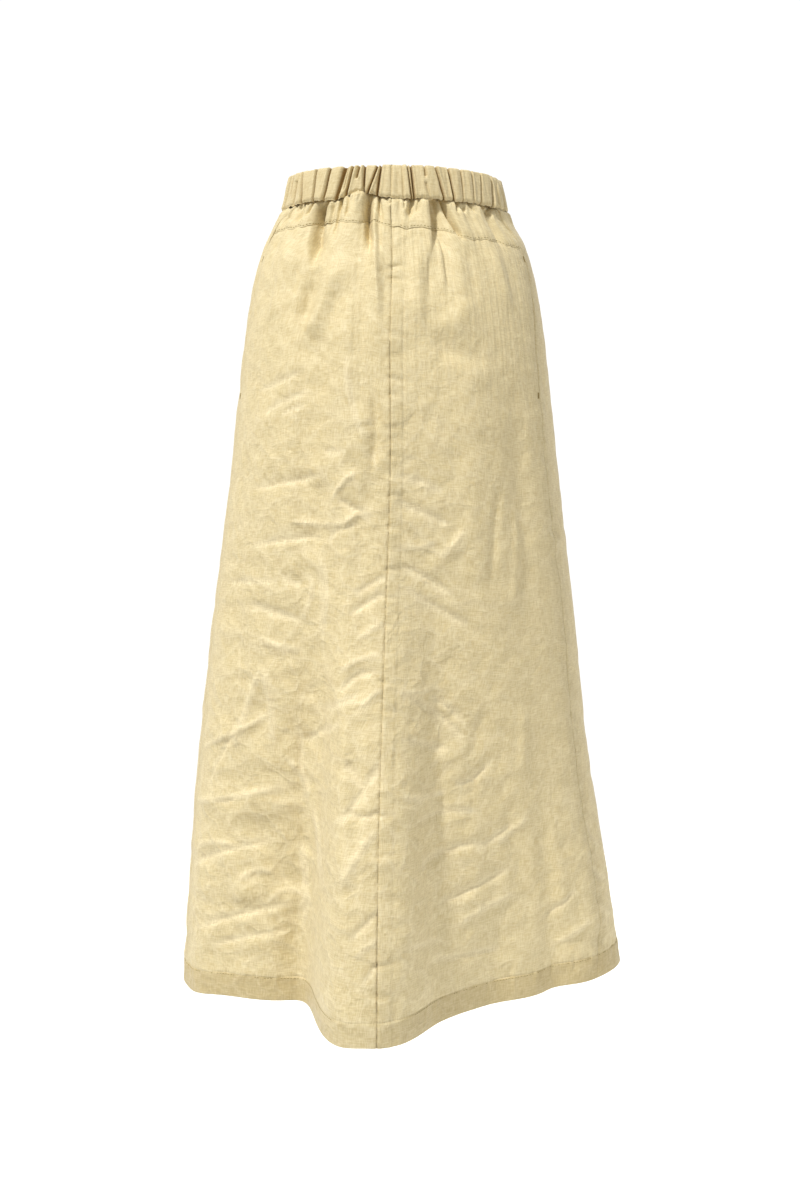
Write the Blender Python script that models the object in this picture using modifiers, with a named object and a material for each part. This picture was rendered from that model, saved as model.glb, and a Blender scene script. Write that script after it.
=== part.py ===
# Gathered skirt of washed linen, worn, with an elastic band, a back yoke and a flared body.
# Metres, +Z up. The origin is the centre of the waist at half the height of the band, -Y is the
# back, and +X is the right side as it is seen from behind. A drop is a depth below the origin, an
# angle runs round the waist in degrees from the middle of the back towards +X.
from collections import namedtuple

import bmesh
import bpy
import numpy as np

OBJECT_NAME = "gathered_skirt"

# Cloth
CLOTH_WALL = 0.0012
HEM_WALL = 0.0024
BAND_WALL = 0.0020
SEAM_GAP = 0.0003
BAND_SEAM_GAP = 0.0010  # measured outside: both edges slant, and are closer inside
EDGE_STRIP = 0.0015
BAND_PROUD = 0.0006

# Lengths down the skirt
BAND_HALF_HEIGHT = 0.017
GATHER_END_DROP = 0.150
HEM_TURN_UP = 0.025
HEM_STEP = 0.0015
HEM_DROP = 0.820

# Rows of points down the pieces: shares of the band, the yoke and the gathered stretch below it,
# and drops of the body
BAND_ROWS = (0.0, 0.33, 0.67, 1.0)
YOKE_ROWS = (0.0, 0.30, 0.65, 1.0)
GATHER_ROWS = (0.0, 0.18, 0.40, 0.68, 1.0)
BODY_DROPS = (0.190, 0.240, 0.300, 0.370, 0.440, 0.510, 0.580, 0.650, 0.720)
YOKE_MIDDLE_DROP = 0.030
YOKE_COLUMNS = 42
BACK_COLUMNS = 28
FRONT_COLUMNS = 42
LIP_WIDTHS = 1.6
EDGE_DEGREES = 0.8
MEASURING_STEPS = 40  # to each column, where the width of the cloth is measured
MEASURING_DEGREES = 0.5

# Linen, lit as plain cloth
LINEN_BACK = (0.78, 0.66, 0.40, 1.0)
LINEN_FRONT = (0.72, 0.60, 0.36, 1.0)
LINEN_BAND = (0.74, 0.62, 0.37, 1.0)
LINEN_YOKE = (0.80, 0.68, 0.42, 1.0)
LINEN_ROUGHNESS = 0.85

# The bare form of the cloth at each drop: half widths to the left and right, half depths to the
# back and front, and how far its middle lies towards the front.
Section = namedtuple("Section", "drop left right back front forward")
SECTIONS = (
    Section(-0.017, 0.1060, 0.1070, 0.0900, 0.0880, 0.000),
    Section(0.017, 0.1150, 0.1150, 0.0940, 0.0910, 0.000),
    Section(0.027, 0.1215, 0.1185, 0.0965, 0.0935, 0.000),
    Section(0.045, 0.1305, 0.1300, 0.1030, 0.0990, 0.000),
    Section(0.080, 0.1420, 0.1420, 0.1140, 0.1060, 0.000),
    Section(0.120, 0.1500, 0.1500, 0.1220, 0.1130, 0.000),
    Section(0.200, 0.1600, 0.1600, 0.1300, 0.1220, 0.000),
    Section(0.300, 0.1720, 0.1720, 0.1320, 0.1300, 0.002),
    Section(0.420, 0.1880, 0.1880, 0.1310, 0.1380, 0.006),
    Section(0.560, 0.2050, 0.2050, 0.1300, 0.1460, 0.014),
    Section(0.700, 0.2180, 0.2300, 0.1300, 0.1540, 0.023),
    Section(0.820, 0.2260, 0.2500, 0.1300, 0.1600, 0.030),
)

# Where the three long seams run, in degrees round the skirt.
SeamLine = namedtuple("SeamLine", "drop left back right")
SEAM_LINES = (
    SeamLine(-0.017, -66.0, -5.2, 59.5),
    SeamLine(0.017, -68.0, -5.2, 59.5),
    SeamLine(0.060, -77.0, -4.4, 67.0),
    SeamLine(0.140, -81.0, -5.0, 63.0),
    SeamLine(0.280, -82.0, -4.6, 61.0),
    SeamLine(0.400, -82.0, -5.4, 63.0),
    SeamLine(0.620, -82.0, -6.4, 63.0),
    SeamLine(0.760, -82.0, -6.4, 63.0),
    SeamLine(0.820, -82.0, -6.3, 57.0),
)

# How far down the band's top edge, the band seam, the yoke seam and the hem lie at each angle.
RingLine = namedtuple("RingLine", "angle top band yoke hem")
RING_LINES = (
    RingLine(-180.0, -0.017, 0.0165, 0.0450, 0.817),
    RingLine(-110.0, -0.017, 0.0170, 0.0450, 0.822),
    RingLine(-75.0, -0.017, 0.0165, 0.0430, 0.824),
    RingLine(-50.0, -0.017, 0.0145, 0.0390, 0.818),
    RingLine(-30.0, -0.017, 0.0135, 0.0375, 0.818),
    RingLine(-22.0, -0.017, 0.0085, 0.0380, 0.819),
    RingLine(-14.0, -0.017, 0.0115, 0.0395, 0.822),
    RingLine(-5.0, -0.017, 0.0150, 0.0430, 0.821),
    RingLine(12.0, -0.017, 0.0150, 0.0440, 0.819),
    RingLine(28.0, -0.016, 0.0160, 0.0510, 0.818),
    RingLine(50.0, -0.015, 0.0175, 0.0550, 0.814),
    RingLine(75.0, -0.013, 0.0180, 0.0570, 0.811),
    RingLine(110.0, -0.015, 0.0175, 0.0500, 0.813),
    RingLine(180.0, -0.017, 0.0165, 0.0450, 0.817),
)

# The grooves pressed into the elastic band, from its top edge to its seam.
Groove = namedtuple("Groove", "top_angle seam_angle depth half_width")
BACK_GROOVES = (
    Groove(-61.0, -63.0, 0.0026, 1.2),
    Groove(-49.0, -49.0, 0.0018, 1.2),
    Groove(-40.0, -42.0, 0.0022, 1.4),
    Groove(-31.0, -34.0, 0.0030, 2.2),
    Groove(-25.5, -28.0, 0.0020, 1.4),
    Groove(-19.0, -20.5, 0.0018, 1.2),
    Groove(-12.5, -15.5, 0.0026, 1.4),
    Groove(0.0, 1.0, 0.0010, 1.0),
    Groove(4.5, 6.5, 0.0028, 1.4),
    Groove(12.5, 13.5, 0.0012, 1.0),
    Groove(18.5, 21.5, 0.0026, 1.4),
    Groove(25.0, 27.5, 0.0020, 1.2),
    Groove(33.0, 33.5, 0.0012, 1.0),
    Groove(40.5, 39.5, 0.0012, 1.0),
    Groove(48.0, 45.0, 0.0014, 1.0),
    Groove(55.0, 53.5, 0.0030, 1.4),
    Groove(70.0, 70.0, 0.0014, 1.6),
    Groove(83.0, 82.0, 0.0024, 1.8),
)
# The front of the band repeats an uneven rhythm of spaces between its grooves.
FRONT_FIRST_ANGLE = 93.0
FRONT_LAST_ANGLE = 288.0
FRONT_SPACES = (9.0, 6.5, 11.0, 7.5, 5.5, 10.0, 8.0)
FRONT_DEPTHS = (0.0022, 0.0014, 0.0026, 0.0016, 0.0020)
FRONT_LEANS = (1.5, -1.0, -1.0)
FRONT_GROOVE_HALF_WIDTH = 1.3

# Gathers and folds of the cloth: where each starts and ends, its reach out (or in, below zero) at
# both ends, and its half widths in degrees. One with no fade keeps its reach at the hem.
Fold = namedtuple(
    "Fold",
    "start_drop end_drop start_angle end_angle start_reach end_reach left_half right_half power",
)
BACK_GATHERS = (
    Fold(0.012, 0.060, -53.0, -56.0, -0.0045, 0.0, 4.0, 4.0, 2.0),
    Fold(0.010, 0.115, -45.0, -45.5, -0.0060, 0.0, 3.4, 3.4, 2.0),
    Fold(0.012, 0.110, -34.0, -39.0, -0.0030, 0.0, 4.0, 4.0, 2.0),
    Fold(0.006, 0.130, -23.0, -25.0, 0.0045, 0.0, 5.0, 5.0, 3.0),
    Fold(0.010, 0.090, -15.8, -15.0, -0.0055, 0.0, 2.6, 2.6, 2.0),
    Fold(0.012, 0.050, -10.0, -9.0, -0.0020, 0.0, 2.0, 2.0, 2.0),
    Fold(0.012, 0.060, 6.5, 7.0, -0.0030, 0.0, 2.6, 2.6, 2.0),
    Fold(0.012, 0.130, 15.5, 13.0, -0.0040, 0.0, 1.8, 4.5, 2.0),
    Fold(0.012, 0.070, 22.0, 25.0, -0.0035, 0.0, 2.6, 2.6, 2.0),
    Fold(0.012, 0.130, 33.0, 37.0, -0.0030, 0.0, 4.0, 4.0, 2.0),
    Fold(0.012, 0.150, 46.0, 51.0, -0.0030, 0.0, 4.0, 4.0, 2.0),
    Fold(0.012, 0.080, 54.0, 60.0, -0.0030, 0.0, 3.0, 3.0, 2.0),
    Fold(0.012, 0.110, -63.0, -66.0, -0.0030, 0.0, 3.0, 3.0, 2.0),
)
FOLD_EASE = 0.012  # height over which a fold comes out of the smooth cloth
FRONT_GATHER_START = 0.012
FRONT_GATHER_DRIFT = 1.5
FRONT_GATHER_REACH = -0.0036
FRONT_GATHER_HALF_WIDTH = 2.6
FRONT_GATHER_ENDS = (0.085, 0.130, 0.070, 0.150, 0.100)

LARGE_FOLDS = (
    # The fold that stands out behind at the hem, and the hollows on both sides of it
    Fold(0.300, 0.820, -9.0, -8.6, 0.0, 0.098, 13.2, 14.0, 3.6),
    Fold(0.420, 0.820, -30.0, -27.0, 0.0, -0.012, 10.0, 12.0, 2.0),
    Fold(0.420, 0.820, 14.0, 10.5, 0.0, 0.022, 5.0, 8.0, 2.0),
    # Soft folds down the right and left of the back
    Fold(0.260, 0.620, 44.0, 40.0, -0.0045, 0.0, 6.0, 6.0, 2.0),
    Fold(0.440, 0.820, 45.0, 42.0, 0.0, -0.010, 6.0, 7.0, 2.0),
    Fold(0.300, 0.820, -64.0, -64.0, 0.0, 0.006, 9.0, 9.0, 2.0),
    # Flutes of the front
    Fold(0.260, 0.820, 112.0, 110.0, 0.0, -0.020, 13.0, 13.0, 2.0),
    Fold(0.200, 0.820, 142.0, 140.0, 0.0, 0.026, 13.0, 13.0, 2.0),
    Fold(0.260, 0.820, 170.0, 172.0, 0.0, -0.018, 13.0, 13.0, 2.0),
    Fold(0.220, 0.820, 204.0, 204.0, 0.0, 0.024, 14.0, 14.0, 2.0),
    Fold(0.260, 0.820, 236.0, 236.0, 0.0, -0.018, 12.0, 12.0, 2.0),
)


def follow(knots, values, at):
    """The smooth curve through a table's column, read at the given places."""
    knots = np.asarray(knots, float)
    values = np.asarray(values, float)
    at = np.clip(np.asarray(at, float), knots[0], knots[-1])
    slopes = np.gradient(values, knots)
    index = np.clip(np.searchsorted(knots, at) - 1, 0, len(knots) - 2)
    span = knots[index + 1] - knots[index]
    t = (at - knots[index]) / span
    return (
        (1 + 2 * t) * (1 - t) ** 2 * values[index]
        + t * (1 - t) ** 2 * span * slopes[index]
        + t**2 * (3 - 2 * t) * values[index + 1]
        + t**2 * (t - 1) * span * slopes[index + 1]
    )


def column(table, name, at):
    """A named column of a table, read at drops or angles of its first column."""
    return follow([row[0] for row in table], [getattr(row, name) for row in table], at)


def turned(angle):
    """An angle brought into the half turn each side of the back."""
    return (np.asarray(angle, float) + 180.0) % 360.0 - 180.0


def eased(t):
    t = np.clip(t, 0.0, 1.0)
    return t * t * (3 - 2 * t)


def fold_reach(fold, angle, drop):
    """How far one fold moves the cloth outwards."""
    t = np.clip((drop - fold.start_drop) / (fold.end_drop - fold.start_drop), 0.0, 1.0)
    middle = fold.start_angle + (fold.end_angle - fold.start_angle) * t
    reach = fold.start_reach + (fold.end_reach - fold.start_reach) * eased(t)
    aside = turned(angle - middle)
    half = np.where(aside < 0, fold.left_half, fold.right_half)
    shape = np.exp(-(np.abs(aside / half) ** fold.power))
    started = eased((drop - fold.start_drop + FOLD_EASE) / FOLD_EASE)
    return reach * shape * started


def front_grooves():
    """The grooves of the hidden front, spaced by the repeated rhythm."""
    grooves = []
    angle = FRONT_FIRST_ANGLE
    while angle < FRONT_LAST_ANGLE:
        k = len(grooves)
        lean = FRONT_LEANS[k % len(FRONT_LEANS)]
        depth = FRONT_DEPTHS[k % len(FRONT_DEPTHS)]
        grooves.append(Groove(angle, angle + lean, depth, FRONT_GROOVE_HALF_WIDTH))
        angle += FRONT_SPACES[k % len(FRONT_SPACES)]
    return tuple(grooves)


def front_gathers(grooves):
    """Gathers that run down from the grooves of the front and fade out."""
    gathers = []
    for k, groove in enumerate(grooves):
        start = groove.seam_angle
        end = start + FRONT_GATHER_DRIFT
        end_drop = FRONT_GATHER_ENDS[k % len(FRONT_GATHER_ENDS)]
        half = FRONT_GATHER_HALF_WIDTH
        reach = FRONT_GATHER_REACH
        gathers.append(
            Fold(FRONT_GATHER_START, end_drop, start, end, reach, 0.0, half, half, 2.0)
        )
    return tuple(gathers)


GROOVES = BACK_GROOVES + front_grooves()
GATHERS = BACK_GATHERS + front_gathers(front_grooves())


def groove_reach(angle, drop):
    """The grooves of the band, cut narrow between flat pillows of cloth."""
    t = np.clip((drop + BAND_HALF_HEIGHT) / (2 * BAND_HALF_HEIGHT), 0.0, 1.0)
    reach = np.zeros(np.broadcast(angle, drop).shape)
    for groove in GROOVES:
        middle = groove.top_angle + (groove.seam_angle - groove.top_angle) * t
        aside = np.abs(turned(angle - middle)) / groove.half_width
        reach = np.minimum(reach, -groove.depth * np.exp(-(aside**2)))
    return reach


def cloth_reach(angle, drop):
    """Gathers and large folds together."""
    reach = np.zeros(np.broadcast(angle, drop).shape)
    for fold in GATHERS + LARGE_FOLDS:
        reach = reach + fold_reach(fold, angle, drop)
    return reach


def place(angle, drop, reach):
    """The point of the form at an angle and drop, moved out along the form by its reach."""
    turn = np.radians(angle)
    sine = np.sin(turn)
    cosine = np.cos(turn)
    wide = np.where(sine > 0, column(SECTIONS, "right", drop), column(SECTIONS, "left", drop))
    deep = np.where(cosine > 0, column(SECTIONS, "back", drop), column(SECTIONS, "front", drop))
    out_x = sine / wide
    out_y = -cosine / deep
    length = np.hypot(out_x, out_y)
    x = wide * sine + reach * out_x / length
    y = column(SECTIONS, "forward", drop) - deep * cosine + reach * out_y / length
    return np.stack([x, y, np.broadcast_to(-drop, x.shape)], axis=-1)


def cloth_point(angle, drop):
    return place(angle, drop, cloth_reach(angle, drop))


def band_point(angle, drop):
    return place(angle, drop, groove_reach(angle, drop) + BAND_PROUD)


def even_steps(point_at, start, end, drop, count):
    """Fractions from start to end that cut the cloth into columns of one width at a drop, with a
    narrow one along each seam, so that the walls on both sides of it end at one slant."""
    fine = np.linspace(0.0, 1.0, MEASURING_STEPS * count + 1)
    points = point_at(start + (end - start) * fine, np.full(fine.shape, drop))
    lengths = np.linalg.norm(np.diff(points, axis=0), axis=1)
    run = np.concatenate([[0.0], np.cumsum(lengths)])
    inner = np.linspace(0.0, run[-1], count - 1)[1:-1]
    stops = np.concatenate([[0.0, EDGE_STRIP], inner, [run[-1] - EDGE_STRIP, run[-1]]])
    return np.interp(stops, run, fine)


def seam_angle(name, drop):
    """A long seam's angle; the front panel ends at the left seam a whole turn on."""
    if name == "left_after_front":
        return column(SEAM_LINES, "left", drop) + 360.0
    return column(SEAM_LINES, name, drop)


def inset(angle, drop, way):
    """An angle moved off a seam by half of the gap between two pieces."""
    half = MEASURING_DEGREES / 2
    points = place(np.array([angle - half, angle + half]), np.array([drop, drop]), 0.0)
    metres_per_degree = np.linalg.norm(points[1] - points[0]) / MEASURING_DEGREES
    return angle + way * SEAM_GAP / 2 / metres_per_degree


def row_of(point_at, sides, fractions, drop_at):
    """One row of points across a piece, its drop read at each angle."""
    guess = drop_at(0.0)
    start = float(seam_angle(sides[0], guess))
    end = float(seam_angle(sides[1], guess))
    angles = start + (end - start) * fractions
    drops = drop_at(angles)
    starts = seam_angle(sides[0], drops)
    ends = seam_angle(sides[1], drops)
    starts = np.array([inset(a, d, 1.0) for a, d in zip(starts, drops)])
    ends = np.array([inset(a, d, -1.0) for a, d in zip(ends, drops)])
    angles = starts + (ends - starts) * fractions
    return point_at(angles, drop_at(angles))


def ring_line(name, shift=0.0):
    """A line round the skirt from the table, moved down by a shift."""
    return lambda angle: column(RING_LINES, name, turned(angle)) + shift


def between(upper, lower, share):
    """A line round the skirt at a share of the way from one line down to another."""
    return lambda angle: upper(angle) * (1 - share) + lower(angle) * share


def level(drop):
    return lambda angle: np.broadcast_to(float(drop), np.shape(angle))


def loft(name, rows, material, wall, hem_rows=0):
    """A wall of cloth through rows of points; a row may have half as many points as the one above."""
    mesh = bpy.data.meshes.new(name)
    cage = bmesh.new()
    lines = [[cage.verts.new(point) for point in row] for row in rows]
    for upper, lower in zip(lines, lines[1:]):
        if len(upper) == len(lower):
            for k in range(len(upper) - 1):
                cage.faces.new((upper[k], lower[k], lower[k + 1], upper[k + 1]))
        else:
            for k in range(len(lower) - 1):
                left, middle, right = upper[2 * k : 2 * k + 3]
                cage.faces.new((left, lower[k], middle))
                cage.faces.new((middle, lower[k], lower[k + 1]))
                cage.faces.new((middle, lower[k + 1], right))
    bmesh.ops.recalc_face_normals(cage, faces=cage.faces)
    outward = sum(face.normal.x * face.calc_center_median().x
                  + face.normal.y * face.calc_center_median().y for face in cage.faces)
    if outward < 0:
        bmesh.ops.reverse_faces(cage, faces=cage.faces)
    count = len(cage.verts)
    cage.to_mesh(mesh)
    cage.free()
    mesh.materials.append(material)
    piece = bpy.data.objects.new(name, mesh)
    shell = piece.modifiers.new("wall", "SOLIDIFY")
    shell.thickness = wall
    shell.offset = -1.0
    if hem_rows:
        doubled = piece.vertex_groups.new(name="turned_up")
        first = count - sum(len(row) for row in rows[-hem_rows:])
        doubled.add(list(range(first, count)), 1.0, "REPLACE")
        shell.thickness = HEM_WALL
        shell.vertex_group = doubled.name
        shell.thickness_vertex_group = wall / HEM_WALL
    mesh.shade_smooth()
    return piece


def linen(name, colour):
    material = bpy.data.materials.new(name)
    material.use_nodes = True
    shader = material.node_tree.nodes["Principled BSDF"]
    shader.inputs["Base Color"].default_value = colour
    shader.inputs["Roughness"].default_value = LINEN_ROUGHNESS
    shader.inputs["Metallic"].default_value = 0.0
    return material


def band_stops(sides, share):
    """Angles across a length of band that follow each groove: its two lips, its floor, and the
    middle of the pillow of cloth between it and the next."""
    drop = (2 * share - 1) * BAND_HALF_HEIGHT
    start = float(seam_angle(sides[0], drop))
    end = float(seam_angle(sides[1], drop))
    floors = []
    for groove in GROOVES:
        angle = groove.top_angle + (groove.seam_angle - groove.top_angle) * share
        if start < angle < end:
            floors.append((angle, LIP_WIDTHS * groove.half_width))
    floors.sort()
    stops = [start, start + EDGE_DEGREES]
    for k, (angle, lip) in enumerate(floors):
        stops += [angle - lip, angle, angle + lip]
        if k + 1 < len(floors):
            following, next_lip = floors[k + 1]
            stops.append((angle + lip + following - next_lip) / 2)
    stops += [end - EDGE_DEGREES, end]
    return (np.array(stops) - start) / (end - start)


def band_piece(name, sides, material):
    """One length of the elastic casing, gathered."""
    top = ring_line("top")
    seam = ring_line("band", -BAND_SEAM_GAP / 2)
    rows = [
        row_of(band_point, sides, band_stops(sides, share), between(top, seam, share))
        for share in BAND_ROWS
    ]
    return loft(name, rows, material, BAND_WALL)


def yoke_piece(name, sides, columns, material):
    """One half of the back yoke, between the band seam and the yoke seam."""
    upper = ring_line("band", BAND_SEAM_GAP / 2)
    lower = ring_line("yoke", -SEAM_GAP / 2)
    start, end = (float(seam_angle(side, YOKE_MIDDLE_DROP)) for side in sides)
    fractions = even_steps(cloth_point, start, end, YOKE_MIDDLE_DROP, columns)
    rows = [
        row_of(cloth_point, sides, fractions, between(upper, lower, share))
        for share in YOKE_ROWS
    ]
    return loft(name, rows, material, CLOTH_WALL)


def body_piece(name, sides, columns, material, to_band=False):
    """One panel of the skirt's body, fine where it is gathered and coarser down to its hem. It
    starts at the yoke seam, or at the band where it has no yoke."""
    upper = ring_line("yoke", SEAM_GAP / 2)
    start, end = (float(seam_angle(side, HEM_DROP)) for side in sides)
    coarse = even_steps(cloth_point, start, end, HEM_DROP, columns)
    fine = np.interp(np.arange(2 * columns + 1) / 2, np.arange(columns + 1), coarse)
    lines = [between(upper, level(GATHER_END_DROP), share) for share in GATHER_ROWS]
    if to_band:
        band = ring_line("band", BAND_SEAM_GAP / 2)
        lines = [between(band, upper, share) for share in YOKE_ROWS[:-1]] + lines
    rows = [row_of(cloth_point, sides, fine, line) for line in lines]
    rows += [row_of(cloth_point, sides, coarse, level(drop)) for drop in BODY_DROPS]
    for shift in (-HEM_TURN_UP - HEM_STEP, -HEM_TURN_UP, 0.0):
        rows.append(row_of(cloth_point, sides, coarse, ring_line("hem", shift)))
    return loft(name, rows, material, CLOTH_WALL, hem_rows=2)


def build():
    for old in list(bpy.data.objects):
        bpy.data.objects.remove(old)
    parts = bpy.data.collections.new(OBJECT_NAME)
    bpy.context.scene.collection.children.link(parts)
    back = linen("linen_back", LINEN_BACK)
    front = linen("linen_front", LINEN_FRONT)
    band = linen("linen_band", LINEN_BAND)
    yoke = linen("linen_yoke", LINEN_YOKE)
    left_back = ("left", "back")
    right_back = ("back", "right")
    whole_front = ("right", "left_after_front")
    pieces = (
        band_piece("waistband_back_left", left_back, band),
        band_piece("waistband_back_right", right_back, band),
        band_piece("waistband_front", whole_front, band),
        yoke_piece("yoke_back_left", left_back, YOKE_COLUMNS, yoke),
        yoke_piece("yoke_back_right", right_back, YOKE_COLUMNS, yoke),
        body_piece("skirt_back_left", left_back, BACK_COLUMNS, back),
        body_piece("skirt_back_right", right_back, BACK_COLUMNS, back),
        body_piece("skirt_front", whole_front, FRONT_COLUMNS, front, to_band=True),
    )
    for piece in pieces:
        parts.objects.link(piece)


build()
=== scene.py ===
from collections import namedtuple

import bpy
import numpy as np
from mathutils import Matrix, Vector


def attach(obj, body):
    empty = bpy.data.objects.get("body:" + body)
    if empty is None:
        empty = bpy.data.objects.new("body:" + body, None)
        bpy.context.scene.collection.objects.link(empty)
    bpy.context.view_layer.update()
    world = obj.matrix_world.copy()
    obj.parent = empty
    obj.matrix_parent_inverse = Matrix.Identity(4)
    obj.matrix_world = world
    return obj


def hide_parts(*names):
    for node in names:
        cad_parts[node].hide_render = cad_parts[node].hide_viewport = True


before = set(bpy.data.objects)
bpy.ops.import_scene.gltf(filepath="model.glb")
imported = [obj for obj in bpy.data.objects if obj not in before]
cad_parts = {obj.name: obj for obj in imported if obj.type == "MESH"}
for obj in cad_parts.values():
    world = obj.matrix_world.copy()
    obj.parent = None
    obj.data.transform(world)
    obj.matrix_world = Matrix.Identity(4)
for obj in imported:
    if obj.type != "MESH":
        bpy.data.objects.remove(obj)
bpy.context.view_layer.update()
print("frame loaded:", len(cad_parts), "nodes")

# The skirt is seen from behind. A drop is a depth below the middle of the waistband, an angle runs
# round the waist in degrees from the middle of the back to the right of the picture.

# Form of the skirt, the same as in its solids
Section = namedtuple("Section", "drop left right back front forward")
sections = (
    Section(-0.017, 0.1060, 0.1070, 0.0900, 0.0880, 0.000),
    Section(0.017, 0.1150, 0.1150, 0.0940, 0.0910, 0.000),
    Section(0.027, 0.1215, 0.1185, 0.0965, 0.0935, 0.000),
    Section(0.045, 0.1305, 0.1300, 0.1030, 0.0990, 0.000),
    Section(0.080, 0.1420, 0.1420, 0.1140, 0.1060, 0.000),
    Section(0.120, 0.1500, 0.1500, 0.1220, 0.1130, 0.000),
    Section(0.200, 0.1600, 0.1600, 0.1300, 0.1220, 0.000),
    Section(0.300, 0.1720, 0.1720, 0.1320, 0.1300, 0.002),
    Section(0.420, 0.1880, 0.1880, 0.1310, 0.1380, 0.006),
    Section(0.560, 0.2050, 0.2050, 0.1300, 0.1460, 0.014),
    Section(0.700, 0.2180, 0.2300, 0.1300, 0.1540, 0.023),
    Section(0.820, 0.2260, 0.2500, 0.1300, 0.1600, 0.030),
)

SeamLine = namedtuple("SeamLine", "drop left back right")
seamLines = (
    SeamLine(-0.017, -66.0, -5.2, 59.5),
    SeamLine(0.017, -68.0, -5.2, 59.5),
    SeamLine(0.060, -77.0, -4.4, 67.0),
    SeamLine(0.140, -81.0, -5.0, 63.0),
    SeamLine(0.280, -82.0, -4.6, 61.0),
    SeamLine(0.400, -82.0, -5.4, 63.0),
    SeamLine(0.620, -82.0, -6.4, 63.0),
    SeamLine(0.760, -82.0, -6.4, 63.0),
    SeamLine(0.820, -82.0, -6.3, 57.0),
)

RingLine = namedtuple("RingLine", "angle top band yoke hem")
ringLines = (
    RingLine(-180.0, -0.017, 0.0165, 0.0450, 0.817),
    RingLine(-110.0, -0.017, 0.0170, 0.0450, 0.822),
    RingLine(-75.0, -0.017, 0.0165, 0.0430, 0.824),
    RingLine(-50.0, -0.017, 0.0145, 0.0390, 0.818),
    RingLine(-30.0, -0.017, 0.0135, 0.0375, 0.818),
    RingLine(-22.0, -0.017, 0.0085, 0.0380, 0.819),
    RingLine(-14.0, -0.017, 0.0115, 0.0395, 0.822),
    RingLine(-5.0, -0.017, 0.0150, 0.0430, 0.821),
    RingLine(12.0, -0.017, 0.0150, 0.0440, 0.819),
    RingLine(28.0, -0.016, 0.0160, 0.0510, 0.818),
    RingLine(50.0, -0.015, 0.0175, 0.0550, 0.814),
    RingLine(75.0, -0.013, 0.0180, 0.0570, 0.811),
    RingLine(110.0, -0.015, 0.0175, 0.0500, 0.813),
    RingLine(180.0, -0.017, 0.0165, 0.0450, 0.817),
)

# Gathers and folds: start and end, reach outwards at both, half widths in degrees
Fold = namedtuple("Fold", "startDrop endDrop startAngle endAngle startReach endReach leftHalf rightHalf power")
backGathers = (
    Fold(0.012, 0.060, -53.0, -56.0, -0.0045, 0.0, 4.0, 4.0, 2.0),
    Fold(0.010, 0.115, -45.0, -45.5, -0.0060, 0.0, 3.4, 3.4, 2.0),
    Fold(0.012, 0.110, -34.0, -39.0, -0.0030, 0.0, 4.0, 4.0, 2.0),
    Fold(0.006, 0.130, -23.0, -25.0, 0.0045, 0.0, 5.0, 5.0, 3.0),
    Fold(0.010, 0.090, -15.8, -15.0, -0.0055, 0.0, 2.6, 2.6, 2.0),
    Fold(0.012, 0.050, -10.0, -9.0, -0.0020, 0.0, 2.0, 2.0, 2.0),
    Fold(0.012, 0.060, 6.5, 7.0, -0.0030, 0.0, 2.6, 2.6, 2.0),
    Fold(0.012, 0.130, 15.5, 13.0, -0.0040, 0.0, 1.8, 4.5, 2.0),
    Fold(0.012, 0.070, 22.0, 25.0, -0.0035, 0.0, 2.6, 2.6, 2.0),
    Fold(0.012, 0.130, 33.0, 37.0, -0.0030, 0.0, 4.0, 4.0, 2.0),
    Fold(0.012, 0.150, 46.0, 51.0, -0.0030, 0.0, 4.0, 4.0, 2.0),
    Fold(0.012, 0.080, 54.0, 60.0, -0.0030, 0.0, 3.0, 3.0, 2.0),
    Fold(0.012, 0.110, -63.0, -66.0, -0.0030, 0.0, 3.0, 3.0, 2.0),
)
largeFolds = (
    Fold(0.300, 0.820, -9.0, -8.6, 0.0, 0.098, 13.2, 14.0, 3.6),  # stands out behind at the hem
    Fold(0.420, 0.820, -30.0, -27.0, 0.0, -0.012, 10.0, 12.0, 2.0),
    Fold(0.420, 0.820, 14.0, 10.5, 0.0, 0.022, 5.0, 8.0, 2.0),
    Fold(0.110, 0.540, -40.0, -28.0, -0.0060, -0.0030, 3.6, 8.0, 2.0),
    Fold(0.140, 0.640, -21.0, -14.0, 0.0045, 0.0030, 5.0, 3.6, 2.0),
    Fold(0.140, 0.600, 24.0, 27.0, 0.0030, 0.0, 7.0, 7.0, 2.0),
    Fold(0.260, 0.620, 44.0, 40.0, -0.0045, 0.0, 6.0, 6.0, 2.0),
    Fold(0.440, 0.800, 5.0, 5.0, 0.0, 0.007, 4.5, 4.5, 2.0),
    Fold(0.440, 0.820, 45.0, 42.0, 0.0, -0.010, 6.0, 7.0, 2.0),
    Fold(0.300, 0.820, -64.0, -64.0, 0.0, 0.006, 9.0, 9.0, 2.0),
    Fold(0.260, 0.820, 112.0, 110.0, 0.0, -0.020, 13.0, 13.0, 2.0),
    Fold(0.200, 0.820, 142.0, 140.0, 0.0, 0.026, 13.0, 13.0, 2.0),
    Fold(0.260, 0.820, 170.0, 172.0, 0.0, -0.018, 13.0, 13.0, 2.0),
    Fold(0.220, 0.820, 204.0, 204.0, 0.0, 0.024, 14.0, 14.0, 2.0),
    Fold(0.260, 0.820, 236.0, 236.0, 0.0, -0.018, 12.0, 12.0, 2.0),
)

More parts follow.
